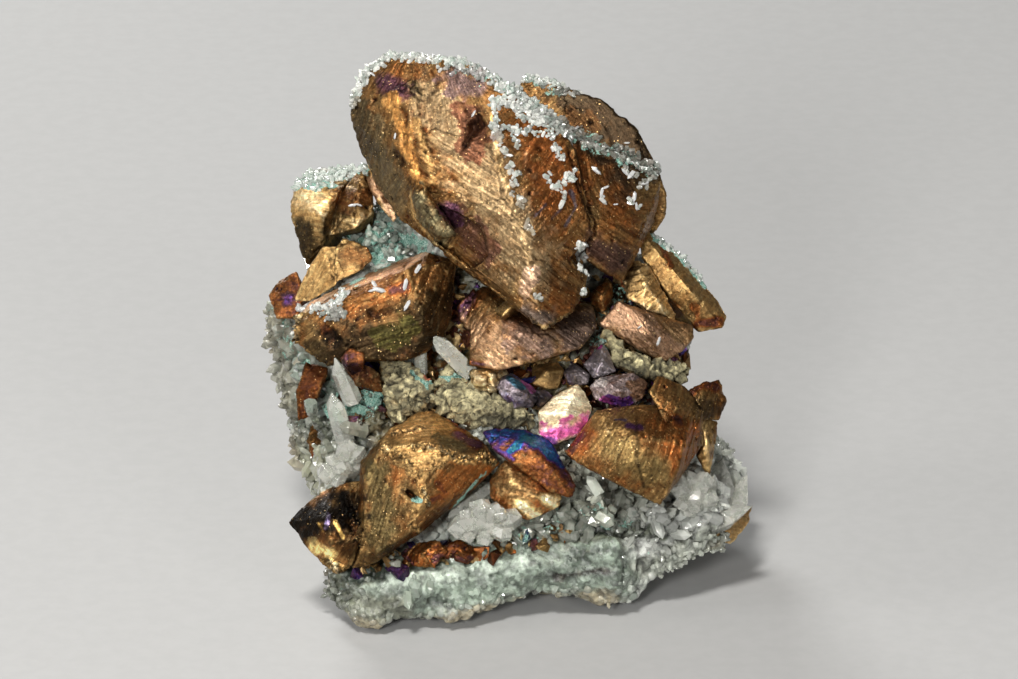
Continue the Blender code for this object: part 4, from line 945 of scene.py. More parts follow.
def crystal_relief(look, places, growth, ridge, marks, seed):
    """How far a crystal's skin is raised, in millimetres, and the parts of its relief that
    its colours follow."""
    tilt, broad = laths(growth, BROAD_PLATE, seed + 2)
    slim_tilt, slim = laths(growth, SLIM_PLATE, seed + 3)
    patches = smooth_step(-0.4, 0.5, waves(places / 4.5, seed + 1, 2))
    step = look["step"]
    height = (broad - 0.5) * step * 1.3 * patches + tilt * step * 0.6
    height += (slim - 0.5) * step * 0.7 + slim_tilt * step * 0.5
    height += waves(places / 6.0, seed + 4, 3) * look["swell"] + look["grow"]
    height += shards(places, FACET_SIZE, FACET_TILT, seed + 24)[0] * look["facets"]
    worn = 1 - smooth_step(0.05, 0.75, ridge + 0.25 * waves(places / 0.7, seed + 6, 2))
    height -= worn * np.maximum(0, waves(places / 0.8, seed + 7, 3)) * look["chip"]
    first, _, _, own = nearest_cells(places / PIT_SPACING, seed + 8)
    edge = first + 0.08 * waves(places / 0.4, seed + 9)
    pits = (own > 1 - PIT_SHARE) * (1 - smooth_step(0.08, 0.3, edge))
    height -= pits * PIT_DEPTH
    crust, _, crust_own = shards(places, CRUST_SIZE, 1.5, seed + 10)
    crinkled = wrinkles(places, CRINKLE_SIZE, seed + 14)
    crusted = waves(places / 2.6, seed + 18, 2) + look["crust"] - 0.5
    crusted = look["crust"] * smooth_step(-0.5, 0.4, crusted)
    height += crust * crusted * 0.35 + (crinkled - 0.5) * look["crinkle"] * 0.2
    for value, strength in marks["rise"]:
        height = height + value * strength
    crumbled = np.full(len(places), look["crumbly"]) * (0.5 + 0.5 * patches)
    crumb_film = np.full(len(places), look["film"])
    for value, strength in marks["crumble"]:
        crumb_film = np.where(strength > crumbled, value, crumb_film)
        crumbled = np.maximum(crumbled, strength)
    bent = places + three_waves(places / 0.9, seed + 50) * 0.4
    crumbs, crumb_gap, crumb_own = shards(bent, look["crumb"], 2.6, seed + 20)
    height += crumbs * crumbled * look["crumb"] * 0.9
    return height, SimpleNamespace(
        broad=broad, slim=slim, worn=worn, pits=pits, crusted=crusted, crust_own=crust_own,
        crinkled=crinkled, crumbled=crumbled, crumb_film=crumb_film, crumb_gap=crumb_gap,
        crumb_own=crumb_own)


def crystal_film(look, places, chosen, hollow, relief, marks, seed):
    """How thick the tarnish is at each point of a crystal. Thinning it on worn edges stands for wear and
    also paints a highlight where the light catches them.
    """
    wander = waves(places / 6.5, seed + 11, 3) * 1.2
    wander = wander + (scatter(np.stack([chosen] * 3, 1), seed) - 0.5) * 1.2
    plates = wander + (relief.broad - 0.5) * 0.8 + (relief.slim - 0.5) * 0.9
    film = look["film"] + look["vary"] * plates
    film += (0.09 * smooth_step(0.015, 0.07, hollow) + relief.pits * 0.1
             + (relief.crust_own - 0.5) * relief.crusted * 0.16)
    for value, strength in marks["film"]:
        film = film + (value - film) * strength
    # Thinner tarnish on worn, outward edges: wear, and a painted highlight where the light catches them.
    film -= look["wear_and_sheen"] * relief.worn * smooth_step(0.0, -0.05, hollow)
    film += (relief.crumb_film + (relief.crumb_own - 0.5) * 0.34 - film) * relief.crumbled
    return np.clip(film, 0.005, 0.995)


def crystal_shade(look, places, hollow, groove, relief, marks, seed):
    """How dark or light each point of a crystal is, against 1 for its plain colour: painted shade in its
    hollows, pits, grooves, crinkles and the crevices between its crumbs, a random tone of its own for each
    plate and crumb, and the shade marks, which are mostly painted light and shade.
    """
    # Painted shade in hollows and in the carved pits.
    shade = 1 - 0.55 * smooth_step(0.015, 0.1, hollow) - 0.35 * relief.pits
    # Painted shade along the grooves between faces.
    shade *= 1 - 0.45 * (1 - smooth_step(0.1, 1.1, groove + 0.5 * waves(places / 0.8, seed + 12, 2)))
    shade *= 0.84 + 0.32 * relief.slim
    # Painted shade in the grooves of the crinkles.
    shade *= 1 - look["crinkle"] * 0.5 * (1 - smooth_step(0.0, 0.3, relief.crinkled))
    # The shade marks: mostly painted light and shade.
    for value, strength in marks["shade"]:
        shade = shade * (1 + (value - 1) * strength)
    # Painted shade in the crevices between crumbs, then a tone of each crumb's own.
    shade *= 1 - 0.88 * relief.crumbled * (1 - smooth_step(0.02, 0.3, relief.crumb_gap))
    shade *= 1 + 1.3 * relief.crumbled * (relief.crumb_own - 0.45)
    return shade


def carve_crystal(name, look, grid, material):
    """One metallic crystal with its growth plates, pits, worn ridges and tarnish."""
    seed = seed_of(name)
    skin, ridge, groove = crystal_skin(name, grid)
    normals = skin.normals()
    places = skin.places / MM
    fronts = smooth_step(-0.15, 0.15, board_direction(normals)[:, 2])
    growth = crystal_growth(name, look["turn"], places, normals, fronts, seed)
    marks = piece_marks(skin, fronts, seed)
    height, relief = crystal_relief(look, places, growth, ridge, marks, seed)
    skin.soften(2, 0.3 * (1 - smooth_step(0.0, 0.3, ridge)))
    skin.raise_by(height)
    hollow = skin.hollowness(4)
    tint = np.zeros((skin.count, 4))
    for value, strength in marks["tint"]:
        tint[:, 3] = np.maximum(tint[:, 3], strength * 0.9)
        tint[:, :3] = np.where(strength[:, None] > 0.02, np.array(value), tint[:, :3])
    skin.keep("film", crystal_film(look, places, growth[2], hollow, relief, marks, seed))
    skin.keep("shade", crystal_shade(look, places, hollow, groove, relief, marks, seed))
    for kind in ("coat", "druse"):
        covered = [value * strength for value, strength in marks[kind]]
        skin.keep(kind, np.maximum.reduce([np.zeros(skin.count), *covered]))
    skin.keep("lines", growth[0])
    skin.keep("tint", tint)
    return skin.finish(material)


# Shader helpers

def add(tree, kind, inputs=None, **settings):
    """Adds a node, sets it up, and fills its inputs with values or other nodes' outputs."""
    node = tree.nodes.new(kind)
    for key, value in settings.items():
        setattr(node, key, value)
    for key, value in (inputs or {}).items():
        socket = node.inputs[key]
        if isinstance(value, bpy.types.NodeSocket):
            tree.links.new(value, socket)
        else:
            socket.default_value = value
    return node


def number(tree, operation, *values, clamp=False):
    """The result of a sum on numbers."""
    node = add(tree, "ShaderNodeMath", dict(enumerate(values)), operation=operation)
    node.use_clamp = clamp
    return node.outputs[0]


def vector(tree, operation, *values):
    """The result of a sum on vectors."""
    return add(tree, "ShaderNodeVectorMath", dict(enumerate(values)), operation=operation).outputs[0]


def between(tree, value, low, high, to_low=0.0, to_high=1.0):
    """A value's way from low to high, eased in and out."""
    node = add(tree, "ShaderNodeMapRange", {0: value, 1: low, 2: high, 3: to_low, 4: to_high})
    node.interpolation_type = "SMOOTHSTEP"
    return node.outputs[0]


def mixed(tree, share, first, second, blend="MIX"):
    """Two colours mixed."""
    node = add(tree, "ShaderNodeMix", {0: share, 6: first, 7: second}, data_type="RGBA")
    node.blend_type = blend
    return node.outputs[2]


def noise(tree, places, scale, detail=2.0, roughness=0.5):
    """Noise from 0 to 1."""
    node = add(tree, "ShaderNodeTexNoise", {
        "Vector": places, "Scale": scale, "Detail": detail, "Roughness": roughness})
    return node.outputs["Fac"]


def colour(values, alpha=1.0):
    """A colour with its alpha."""
    return (*values, alpha)


def ramp(tree, value, stops):
    """The colour that a value has on a ramp of some stops."""
    node = add(tree, "ShaderNodeValToRGB", {0: value})
    elements = node.color_ramp.elements
    while len(elements) < len(stops):
        elements.new(0.5)
    for element, (position, shade) in zip(elements, stops):
        element.position = position
        element.color = colour(shade)
    return node.outputs[0]


def new_group(name, inputs, outputs):
    """A shader node group with its named inputs and outputs."""
    group = bpy.data.node_groups.new(name, "ShaderNodeTree")
    for label, kind, default in inputs:
        socket = group.interface.new_socket(label, in_out="INPUT", socket_type=f"NodeSocket{kind}")
        socket.default_value = default
    for label, kind in outputs:
        group.interface.new_socket(label, in_out="OUTPUT", socket_type=f"NodeSocket{kind}")
    return group, group.nodes.new("NodeGroupInput").outputs, group.nodes.new("NodeGroupOutput").inputs


def joined(group, results, values):
    """Joins values to a group's outputs."""
    for label, value in values.items():
        group.links.new(value, results[label])


def attribute(tree, name, output="Fac"):
    """What a mesh keeps for each point under a name."""
    return add(tree, "ShaderNodeAttribute", attribute_name=name).outputs[output]


def millimetres(tree):
    """Object coordinates in millimetres."""
    places = add(tree, "ShaderNodeTexCoord").outputs["Object"]
    node = add(tree, "ShaderNodeVectorMath", {0: places}, operation="SCALE")
    node.inputs["Scale"].default_value = 1 / MM
    return node.outputs[0]


def tarnish_group():
    """The colours that a thin film gives to copper ore, from clean gold to green."""
    group, given, results = new_group("tarnish_film", [
        ("Film", "Float", 0.3), ("Wander", "Float", 0.05), ("Places", "Vector", (0, 0, 0))],
        [("Color", "Color")])
    slow = noise(group, given["Places"], 0.35, 3, 0.6)
    quick = noise(group, given["Places"], 2.4, 4, 0.7)
    shift = number(group, "ADD", number(group, "SUBTRACT", slow, 0.5),
                   number(group, "SUBTRACT", quick, 0.5))
    film = number(group, "MULTIPLY_ADD", shift, given["Wander"], given["Film"])
    joined(group, results, {"Color": ramp(group, film, TARNISH)})
    return group


def growth_group():
    """The finest growth lines, broken along their length."""
    group, given, results = new_group("growth_lines", [
        ("Lines", "Float", 0.0), ("Spacing", "Float", 0.25), ("Places", "Vector", (0, 0, 0))],
        [("Height", "Float"), ("Dark", "Float")])
    line = number(group, "DIVIDE", given["Lines"], given["Spacing"])
    drift = vector(group, "SCALE", given["Places"])
    drift.node.inputs["Scale"].default_value = 0.4
    spread = vector(group, "ADD", add(group, "ShaderNodeCombineXYZ", {0: line}).outputs[0], drift)
    fine = noise(group, spread, 1.0, 2, 0.6)
    coarse = noise(group, vector(group, "MULTIPLY", spread, (0.3, 1, 1)), 1.0, 2, 0.5)
    height = number(group, "ADD", fine, number(group, "MULTIPLY", coarse, 1.4))
    joined(group, results, {"Height": height, "Dark": between(group, fine, 0.36, 0.62)})
    return group


def grain_group():
    """Grains, pits and bright specks of a few tenths of a millimetre, and the glitter of
    flakes that are each tilted their own way."""
    group, given, results = new_group("mineral_grain", [
        ("Places", "Vector", (0, 0, 0)), ("Grain", "Float", 5.0), ("Flakes", "Float", 4.0),
        ("Tilt", "Float", 0.3)],
        [("Height", "Float"), ("Pits", "Float"), ("Specks", "Float"), ("Mottle", "Float"),
         ("Normal", "Vector")])
    grain = noise(group, given["Places"], given["Grain"], 3, 0.7)
    cells = add(group, "ShaderNodeTexVoronoi", {"Vector": given["Places"], "Scale": 2.3})
    rare = number(group, "GREATER_THAN", add(group, "ShaderNodeSeparateColor", {
        0: cells.outputs["Color"]}).outputs[0], 0.72)
    pits = number(group, "MULTIPLY", rare, between(group, cells.outputs["Distance"], 0.3, 0.12))
    spots = add(group, "ShaderNodeTexVoronoi", {"Vector": given["Places"], "Scale": 2.9})
    few = number(group, "GREATER_THAN", add(group, "ShaderNodeSeparateColor", {
        0: spots.outputs["Color"]}).outputs[1], 0.82)
    specks = number(group, "MULTIPLY", few, between(group, spots.outputs["Distance"], 0.3, 0.16))
    flakes = add(group, "ShaderNodeTexVoronoi", {"Vector": given["Places"], "Scale": given["Flakes"]})
    lean = vector(group, "SUBTRACT", flakes.outputs["Color"], (0.5, 0.5, 0.5))
    lean = add(group, "ShaderNodeVectorMath", {0: lean}, operation="SCALE")
    group.links.new(given["Tilt"], lean.inputs["Scale"])
    facing = add(group, "ShaderNodeNewGeometry").outputs["Normal"]
    leaning = vector(group, "NORMALIZE", vector(group, "ADD", facing, lean.outputs[0]))
    bright = add(group, "ShaderNodeSeparateColor", {0: flakes.outputs["Color"]}).outputs[2]
    patch = between(group, noise(group, given["Places"], 1.3, 5, 0.65), 0.28, 0.72, 0.62, 1.2)
    mottle = number(group, "MULTIPLY", patch, between(group, bright, 0.0, 1.0, 0.8, 1.2))
    joined(group, results, {"Height": grain, "Pits": pits, "Specks": specks, "Mottle": mottle,
                            "Normal": leaning})
    return group


def coat_group():
    """Turquoise to grey-green copper dust with quartz in it."""
    group, given, results = new_group("copper_dust", [
        ("Coat", "Float", 0.0), ("Places", "Vector", (0, 0, 0))],
        [("Color", "Color"), ("Amount", "Float"), ("Height", "Float")])
    patch = noise(group, given["Places"], 1.3, 4, 0.65)
    grain = noise(group, given["Places"], 5.5, 2, 0.6)
    amount = number(group, "MULTIPLY_ADD", number(group, "SUBTRACT", patch, 0.5), 1.8, given["Coat"])
    shade = ramp(group, grain, [(0.3, (0.05, 0.13, 0.10)), (0.46, (0.15, 0.33, 0.27)),
                                (0.58, (0.31, 0.47, 0.40)), (0.74, (0.55, 0.62, 0.53))])
    joined(group, results, {
        "Color": shade, "Amount": between(group, amount, 0.42, 0.62), "Height": grain})
    return group


def place_group(tree, name, values):
    """Puts a shader node group in a material, and gives its outputs."""
    node = tree.nodes.new("ShaderNodeGroup")
    node.node_tree = bpy.data.node_groups[name]
    for key, value in values.items():
        if isinstance(value, bpy.types.NodeSocket):
            tree.links.new(value, node.inputs[key])
        else:
            node.inputs[key].default_value = value
    return node.outputs


def new_material(name):
    """A new material, its tree and the inputs of its shader."""
    material = bpy.data.materials.new(name)
    material.use_nodes = True
    tree = material.node_tree
    return material, tree, tree.nodes["Principled BSDF"].inputs


def bumped(tree, height, distance, normal=None, strength=1.0):
    """A normal that a height has bent."""
    node = add(tree, "ShaderNodeBump", {"Height": height, "Distance": distance, "Strength": strength})
    if normal is not None:
        tree.links.new(normal, node.inputs["Normal"])
    return node.outputs["Normal"]


def shaded(tree, base, *shares):
    """A colour made darker or lighter by some numbers."""
    share = shares[0]
    for other in shares[1:]:
        share = number(tree, "MULTIPLY", share, other)
    grey = add(tree, "ShaderNodeCombineColor", {0: share, 1: share, 2: share}).outputs[0]
    return mixed(tree, 1.0, base, grey, "MULTIPLY")


def ore_material(name, look):
    """Tarnished copper ore: a film of colour on metal, fine growth lines, grains and dust, made darker or
    lighter by the shade kept on the mesh, which is mostly painted light and shade, and with painted shade
    in its tiny pits.
    """
    material, tree, shader = new_material(f"{name}_finish")
    places = millimetres(tree)
    film = place_group(tree, "tarnish_film", {
        "Film": attribute(tree, "film"), "Wander": look["wander"], "Places": places})
    growth = place_group(tree, "growth_lines", {
        "Lines": attribute(tree, "lines"), "Spacing": look["spacing"], "Places": places})
    grain = place_group(tree, "mineral_grain", {
        "Places": places, "Grain": look["grain"], "Flakes": look["flakes"], "Tilt": look["glitter"]})
    coat = place_group(tree, "copper_dust", {"Coat": attribute(tree, "coat"), "Places": places})
    base = mixed(tree, attribute(tree, "tint", "Alpha"), film["Color"], attribute(tree, "tint", "Color"))
    base = mixed(tree, number(tree, "MULTIPLY", growth["Dark"], look["lining"]), base,
                 mixed(tree, 1.0, base, colour(look["line_colour"]), "MULTIPLY"))
    base = shaded(tree, base, attribute(tree, "shade"), grain["Mottle"])
    # Painted shade in the tiny pits.
    pitted = number(tree, "MULTIPLY", grain["Pits"], look["pitting"])
    base = mixed(tree, pitted, base, colour(PIT_SHADE_COLOUR))
    speckled = number(tree, "MULTIPLY", grain["Specks"], look["specks"])
    base = mixed(tree, speckled, base, colour(SPECK_COLOUR))
    base = mixed(tree, 1.0, base, colour(look["cast"]), "MULTIPLY")
    base = mixed(tree, coat["Amount"], base, coat["Color"])
    tree.links.new(base, shader["Base Color"])
    rough = number(tree, "MULTIPLY_ADD", growth["Dark"], 0.08, look["rough"])
    rough = number(tree, "MULTIPLY_ADD", grain["Height"], 0.2, rough)
    rough = number(tree, "MULTIPLY_ADD", coat["Amount"], 0.35, rough, clamp=True)
    tree.links.new(rough, shader["Roughness"])
    metal = number(tree, "MULTIPLY_ADD", coat["Amount"], -look["metal"], look["metal"])
    tree.links.new(metal, shader["Metallic"])
    fine = bumped(tree, growth["Height"], look["line_depth"] * MM, grain["Normal"])
    fine = bumped(tree, grain["Height"], look["grain_depth"] * MM, fine)
    tree.links.new(bumped(tree, coat["Height"], 0.12 * MM, fine, 0.5), shader["Normal"])
    return material


# The ore's finishes. spacing is how far apart the finest growth lines are, in
# millimetres, line_depth and grain_depth are how deep they and the grains are, and
# pitting is how strongly the painted shade of the tiny pits shows.
ORE_FINISHES = {
    "bronze_chalcopyrite": dict(
        wander=0.12, spacing=0.3, grain=4.0, flakes=3.6, glitter=0.22, lining=0.7,
        line_colour=(0.55, 0.45, 0.38), pitting=0.8, specks=0.6, cast=(1.0, 0.97, 0.92),
        rough=0.22, metal=0.9, line_depth=0.06, grain_depth=0.035),
    "gold_chalcopyrite": dict(
        wander=0.14, spacing=0.34, grain=3.4, flakes=3.0, glitter=0.18, lining=0.6,
        line_colour=(0.62, 0.48, 0.38), pitting=0.5, specks=0.3, cast=(1.0, 0.97, 0.92),
        rough=0.28, metal=0.85, line_depth=0.06, grain_depth=0.035),
    "peacock_chalcopyrite": dict(
        wander=0.26, spacing=0.24, grain=4.4, flakes=3.6, glitter=0.38, lining=0.4,
        line_colour=(0.6, 0.55, 0.6), pitting=0.5, specks=0.25, cast=(1.0, 1.0, 1.0),
        rough=0.26, metal=0.85, line_depth=0.03, grain_depth=0.05),
    "olive_chalcopyrite": dict(
        wander=0.12, spacing=0.5, grain=3.0, flakes=1.6, glitter=0.7, lining=0.2,
        line_colour=(0.5, 0.5, 0.4), pitting=0.8, specks=0.1, cast=(1.0, 1.0, 1.0),
        rough=0.5, metal=0.2, line_depth=0.03, grain_depth=0.4),
}


def quartz_material():
    """The quartz mound: white to pale green, stained by the copper in it, with painted shade in its
    hollows and in the gaps between the crystals, as the mesh keeps it.
    """
    material, tree, shader = new_material("quartz_finish")
    places = millimetres(tree)
    grain = place_group(tree, "mineral_grain", {
        "Places": places, "Grain": 2.2, "Flakes": 1.8, "Tilt": 0.45})
    coat = place_group(tree, "copper_dust", {"Coat": attribute(tree, "coat"), "Places": places})
    cloud = noise(tree, places, 0.9, 4, 0.65)
    base = attribute(tree, "tint", "Color")
    base = mixed(tree, between(tree, cloud, 0.5, 0.72, 0.0, 0.4), base, colour((0.50, 0.55, 0.50)))
    base = mixed(tree, between(tree, cloud, 0.46, 0.3, 0.0, 0.5), base, colour((0.16, 0.17, 0.12)))
    base = shaded(tree, base, attribute(tree, "shade"), grain["Mottle"])
    # Painted shade in tiny pits.
    base = mixed(tree, number(tree, "MULTIPLY", grain["Pits"], 0.4), base, colour((0.08, 0.09, 0.06)))
    base = mixed(tree, coat["Amount"], base, coat["Color"])
    tree.links.new(base, shader["Base Color"])
    rough = number(tree, "MULTIPLY_ADD", grain["Height"], 0.5, 0.08, clamp=True)
    tree.links.new(rough, shader["Roughness"])
    shader["Subsurface Weight"].default_value = 0.2
    shader["Subsurface Radius"].default_value = (1.0, 1.0, 0.9)
    shader["Subsurface Scale"].default_value = 0.0006
    shader["IOR"].default_value = 1.54
    tree.links.new(bumped(tree, grain["Height"], 0.12 * MM, grain["Normal"]), shader["Normal"])
    return material


def crystal_material(name, tone, milk, clear, rough, druse=False):
    """Clear to milky quartz, with clouds in it and fine growth marks on it. As druse it
    takes on some of the colour and the copper dust of what it grows on."""
    material, tree, shader = new_material(f"{name}_finish")
    places = millimetres(tree)
    cloud = noise(tree, places, 1.1, 4, 0.6)
    base = mixed(tree, between(tree, cloud, 0.43, 0.52), colour(tone), colour(milk))
    if druse:
        stained = shaded(tree, attribute(tree, "tint", "Color"), 1.4)
        share = number(tree, "MULTIPLY", attribute(tree, "tint", "Alpha"), 0.8)
        base = mixed(tree, share, base, stained)
        coat = place_group(tree, "copper_dust", {"Coat": attribute(tree, "coat"), "Places": places})
        base = mixed(tree, number(tree, "MULTIPLY", coat["Amount"], 0.25), base, coat["Color"])
        base = shaded(tree, base, attribute(tree, "shade"))
    tree.links.new(base, shader["Base Color"])
    grain = place_group(tree, "mineral_grain", {
        "Places": places, "Grain": 2.6, "Flakes": 1.3, "Tilt": 0.35 if druse else 0.04})
    tree.links.new(number(tree, "MULTIPLY_ADD", grain["Height"], 0.24, rough), shader["Roughness"])
    shader["IOR"].default_value = QUARTZ_IOR
    shader["Transmission Weight"].default_value = clear
    shader["Coat Weight"].default_value = 0.5
    shader["Coat Roughness"].default_value = 0.04
    tree.links.new(bumped(tree, grain["Height"], 0.05 * MM, grain["Normal"]), shader["Normal"])
    return material


def make_materials():
    """The shader groups and the materials, each made once."""
    tarnish_group()
    growth_group()
    grain_group()
    coat_group()
    made = {name: ore_material(name, look) for name, look in ORE_FINISHES.items()}
    made["quartz"] = quartz_material()
    made["clear_quartz"] = crystal_material(
        "clear_quartz", (0.80, 0.83, 0.74), (1.0, 1.0, 0.92), 0.72, -0.1)
    made["druse_quartz"] = crystal_material(
        "druse_quartz", (0.62, 0.68, 0.62), (0.90, 0.91, 0.86), 0.35, -0.06, True)
    return made


# Quartz

# Stains of the quartz mound on the front, with a few dark patches of painted shade in the
# gaps between and under the crystals and between the rim's beads: colour, reach and line on
# the board. The other lists have a strength in the colour's place: DUSTED with copper dust,
# BEADED along the rim, BASE the smooth foot.
MOUND_COLOUR = (0.40, 0.42, 0.36, 1.0)
MOUND_BROWN = (0.20, 0.145, 0.07)
MOUND_PALE = (0.68, 0.70, 0.65)
MOUND_STAINS_AND_SHADE = [
    ((0.23, 0.28, 0.225), 6.0, [(-16, 4), (0, 8), (12, 9)]),
    ((0.46, 0.53, 0.445), 1.3, [(-19, 5.4), (-12, 7), (-4, 8), (6, 9.6)]),
    ((0.46, 0.40, 0.27), 1.5, [(-20, 1.6), (-15, -0.4), (-5, 1.8), (6, 3.4), (13, 3.8)]),
    ((0.28, 0.29, 0.23), 4.5, [(4, 16), (14, 17), (20, 15)]),
    ((0.45, 0.46, 0.43), 3.6, [(18, 12), (26, 17)]),
    # Painted shade between the beads of the rim at the lower left.
    ((0.20, 0.21, 0.16), 2.0, [(-19, 3.4), (-14, 2.6)]),
    ((0.11, 0.12, 0.085), 2.8, [(-22.4, 4.4), (-19.6, 8.6)]),
    ((0.15, 0.16, 0.115), 3.4, [(-25, 24), (-21, 27)]),
    ((0.12, 0.13, 0.095), 4.6, [(-26, 34), (-25, 28), (-20, 30), (-18, 36)]),
    ((0.26, 0.245, 0.18), 3.0, [(-30.5, 40), (-30, 30)]),
    ((0.30, 0.30, 0.20), 2.4, [(-25, 22), (-26.4, 17)]),
    # Painted shade on the quartz in the gaps between the crystals and under the crown.
    ((0.11, 0.10, 0.055), 5.0, [(-16, 30), (-4, 32), (8, 32), (16, 35), (24, 34)]),
    ((0.11, 0.10, 0.06), 4.6, [(-8, 44), (-4, 38), (6, 40), (16, 42)]),
    ((0.05, 0.06, 0.04), 0.7, [(9, 13.6), (14, 12.8), (19, 13.2)]),
    ((0.10, 0.11, 0.08), 0.9, [(0, 11.4), (8, 12.2), (16, 12.8), (20, 12.2)]),
    ((0.06, 0.055, 0.045), 0.5, [(6, 6.8), (9, 7.2), (13, 7.7)]),
    ((0.04, 0.055, 0.04), 1.6, [(-19.6, 7), (-16.4, 8)]),
    ((0.85, 0.85, 0.83), 1.3, [(-27.5, 42)]),
]
DUSTED = [
    (0.9, 3.0, [(-20, 52), (-17, 50.6), (-13, 49)]),
    (0.8, 2.0, [(-17.4, 55.6), (-15.6, 53)]),
    (0.75, 1.6, [(-22, 28), (-19, 29), (-15.6, 31)]),
    (0.65, 1.4, [(-5.6, 34), (-5, 32), (-6, 30.4)]),
    (0.7, 2.4, [(-24, 30), (-27, 34)]),
    (0.45, 1.6, [(1, 12), (8, 15), (16, 14)]),
]
BEADED = [(1.0, 1.8, [(-21, 2.4), (-15, -0.2), (-5, 2.2), (6, 3.8), (14, 4.4), (20, 6)])]
BASE = [(1.0, 4.2, [(-17, 4.6), (-6, 6.4), (6, 8), (14, 9)])]
# Where bigger quartz blades stand, and where broken bits of ore fill the gaps.
BLADED = [
    (1.0, 2.8, [(-24.6, 19.6), (-20.6, 23.8)]),
    (0.9, 2.2, [(-8, 12.6), (-3, 11.6), (1.6, 13.4)]),
    (0.8, 3.6, [(6, 16), (12, 17), (19, 18)]),
    (0.9, 2.8, [(21, 14), (29, 20)]),
    (1.0, 2.6, [(-27, 36), (-25, 30)]),
    (0.4, 2.0, [(-29.6, 30), (-30, 38)]),
    (0.6, 1.6, [(-12, 5.6), (-7, 7.6)]),
]
BROKEN = [
    (1.0, 5.0, [(-14, 31), (-4, 32), (6, 33), (16, 34), (23, 33)]),
    (1.0, 4.5, [(-7, 41), (0, 38), (8, 40), (15, 42)]),
    (0.8, 2.4, [(-21, 28), (-18, 33), (-20, 36)]),
    (0.7, 1.3, [(-18, 8.4), (-4, 10.4), (7, 12)]),
    (0.8, 2.4, [(26, 31), (27, 36)]),
]
# The grains of the druse: prisms as (width, length, pointed at both ends), how tall the
# beads are, and how flat the bits of ore.
PRISM_SHAPES = [(0.9, 1.0, False), (1.1, 0.9, False), (0.9, 1.3, False), (0.9, 0.9, True)]
BEAD_SHAPES = [0.6, 0.8]
BIT_SHAPES = [0.34 + 0.1 * index for index in range(5)]
# What the druse's geometry nodes are given, with lengths in millimetres and the density in
# grains to a square metre. ORE_BITS has the least and the most film of each ore's bits.
DRUSY_CRYSTALS = ["crown_crystals", "barrel_crystal", "left_summit_crystals", "long_pale_crystal"]
CRYSTAL_DRUSE = {"Spacing": 0.26, "Density": 1.6e7, "Smallest": 0.4, "Tilt": 1.2}
MOUND_DRUSE = [
    ("grains_on_quartz", "prisms", {
        "Spacing": 0.55, "Density": 1.6e6, "Smallest": 0.4, "Tilt": 0.9, "Dullest": 0.5, "Seed": 11}),
    ("blades_on_quartz", "prisms", {
        "Mask": "blades", "Spacing": 1.0, "Density": 7e5, "Size": 2.4, "Smallest": 0.5,
        "Tilt": 0.9, "Sink": -0.1, "Dullest": 0.6, "Seed": 21}),
    ("beads_on_quartz", "beads", {
        "Mask": "rim", "Spacing": 0.8, "Density": 1.2e6, "Size": 1.6, "Smallest": 0.5,
        "Tilt": 0.6, "Sink": -0.22, "Dullest": 0.7, "Brightest": 1.0, "Seed": 27}),
]
BITS_DRUSE = {
    "Mask": "shards", "Spacing": 0.9, "Density": 3e5, "Size": 2.8, "Smallest": 0.35,
    "Tilt": 1.4, "Sink": 0.1, "Dullest": 0.35, "Own Colour": True}
ORE_BITS = [
    ("bronze_chalcopyrite", 0.25, 0.6), ("gold_chalcopyrite", 0.05, 0.3),
    ("peacock_chalcopyrite", 0.48, 0.78), ("olive_chalcopyrite", 0.1, 0.35)]
# Quartz prisms that grow through each other in one piece: the foot and the tip of each,
# as (across, up, out) on the board, and its width.
CLUSTERS = {
    "front_quartz_crystal": [
        ((-1.0, 14.6, 0.2), (-8.0, 13.2, 3.4), 3.8), ((-2.6, 13.2, 0), (-6.4, 15.6, 3), 2.6),
        ((-3.4, 12.6, 0.4), (-3.6, 17.2, 3.4), 3.4), ((-2.6, 13, 0.6), (-1.4, 16.6, 4), 2.6),
        ((-3.6, 13.6, 0.8), (1.8, 14.8, 3), 3.6), ((-3, 13.8, 1), (0.4, 12.2, 3.6), 2.8),
        ((-3.4, 14.4, 0.6), (-2.8, 11, 3), 2.4), ((-4.4, 14, 1.2), (-5.6, 11.6, 3.8), 2.2),
        ((-2, 14.4, 1.4), (-0.6, 15.4, 4.6), 2.2)],
    "left_quartz_crystal": [
        ((-19.6, 21.6, -1.4), (-24.8, 20.0, 1), 3.4), ((-20, 20.6, -1.4), (-23.8, 22.6, 1.4), 2.4),
        ((-21.6, 20.6, -1.4), (-20.6, 24.8, 1.2), 3.2), ((-22, 20.4, -1.2), (-18.6, 23.8, 0.8), 2.4),
        ((-20.6, 22.6, -1.4), (-22.6, 18.6, 1.6), 2.4), ((-20.4, 20.6, -1), (-22.4, 21.4, 2.8), 2.6)],
    "right_quartz_crystal": [
        ((24.4, 16, -5), (20.9, 20.2, -1.4), 3.8), ((24.2, 16, -5.2), (23.4, 20.8, -2.4), 2.6),
        ((23.6, 15.4, -5.4), (26, 20.4, -2.2), 3.6), ((22.8, 17.6, -5.4), (27.4, 16.8, -2.6), 3.0),
        ((24.6, 18, -5.2), (22, 15.8, -1.4), 2.4), ((23.4, 18, -5.2), (24.8, 17.0, -1.0), 2.6)],
}


def painted(board_places, ragged, entries):
    """How strongly lines on the board show at each point."""
    best = np.zeros(len(board_places))
    for value, reach, line in entries:
        away = distance_to_line(board_places, line) / reach + ragged * 0.35
        best = np.maximum(best, value * (1 - smooth_step(0.6, 1.15, away)))
    return best


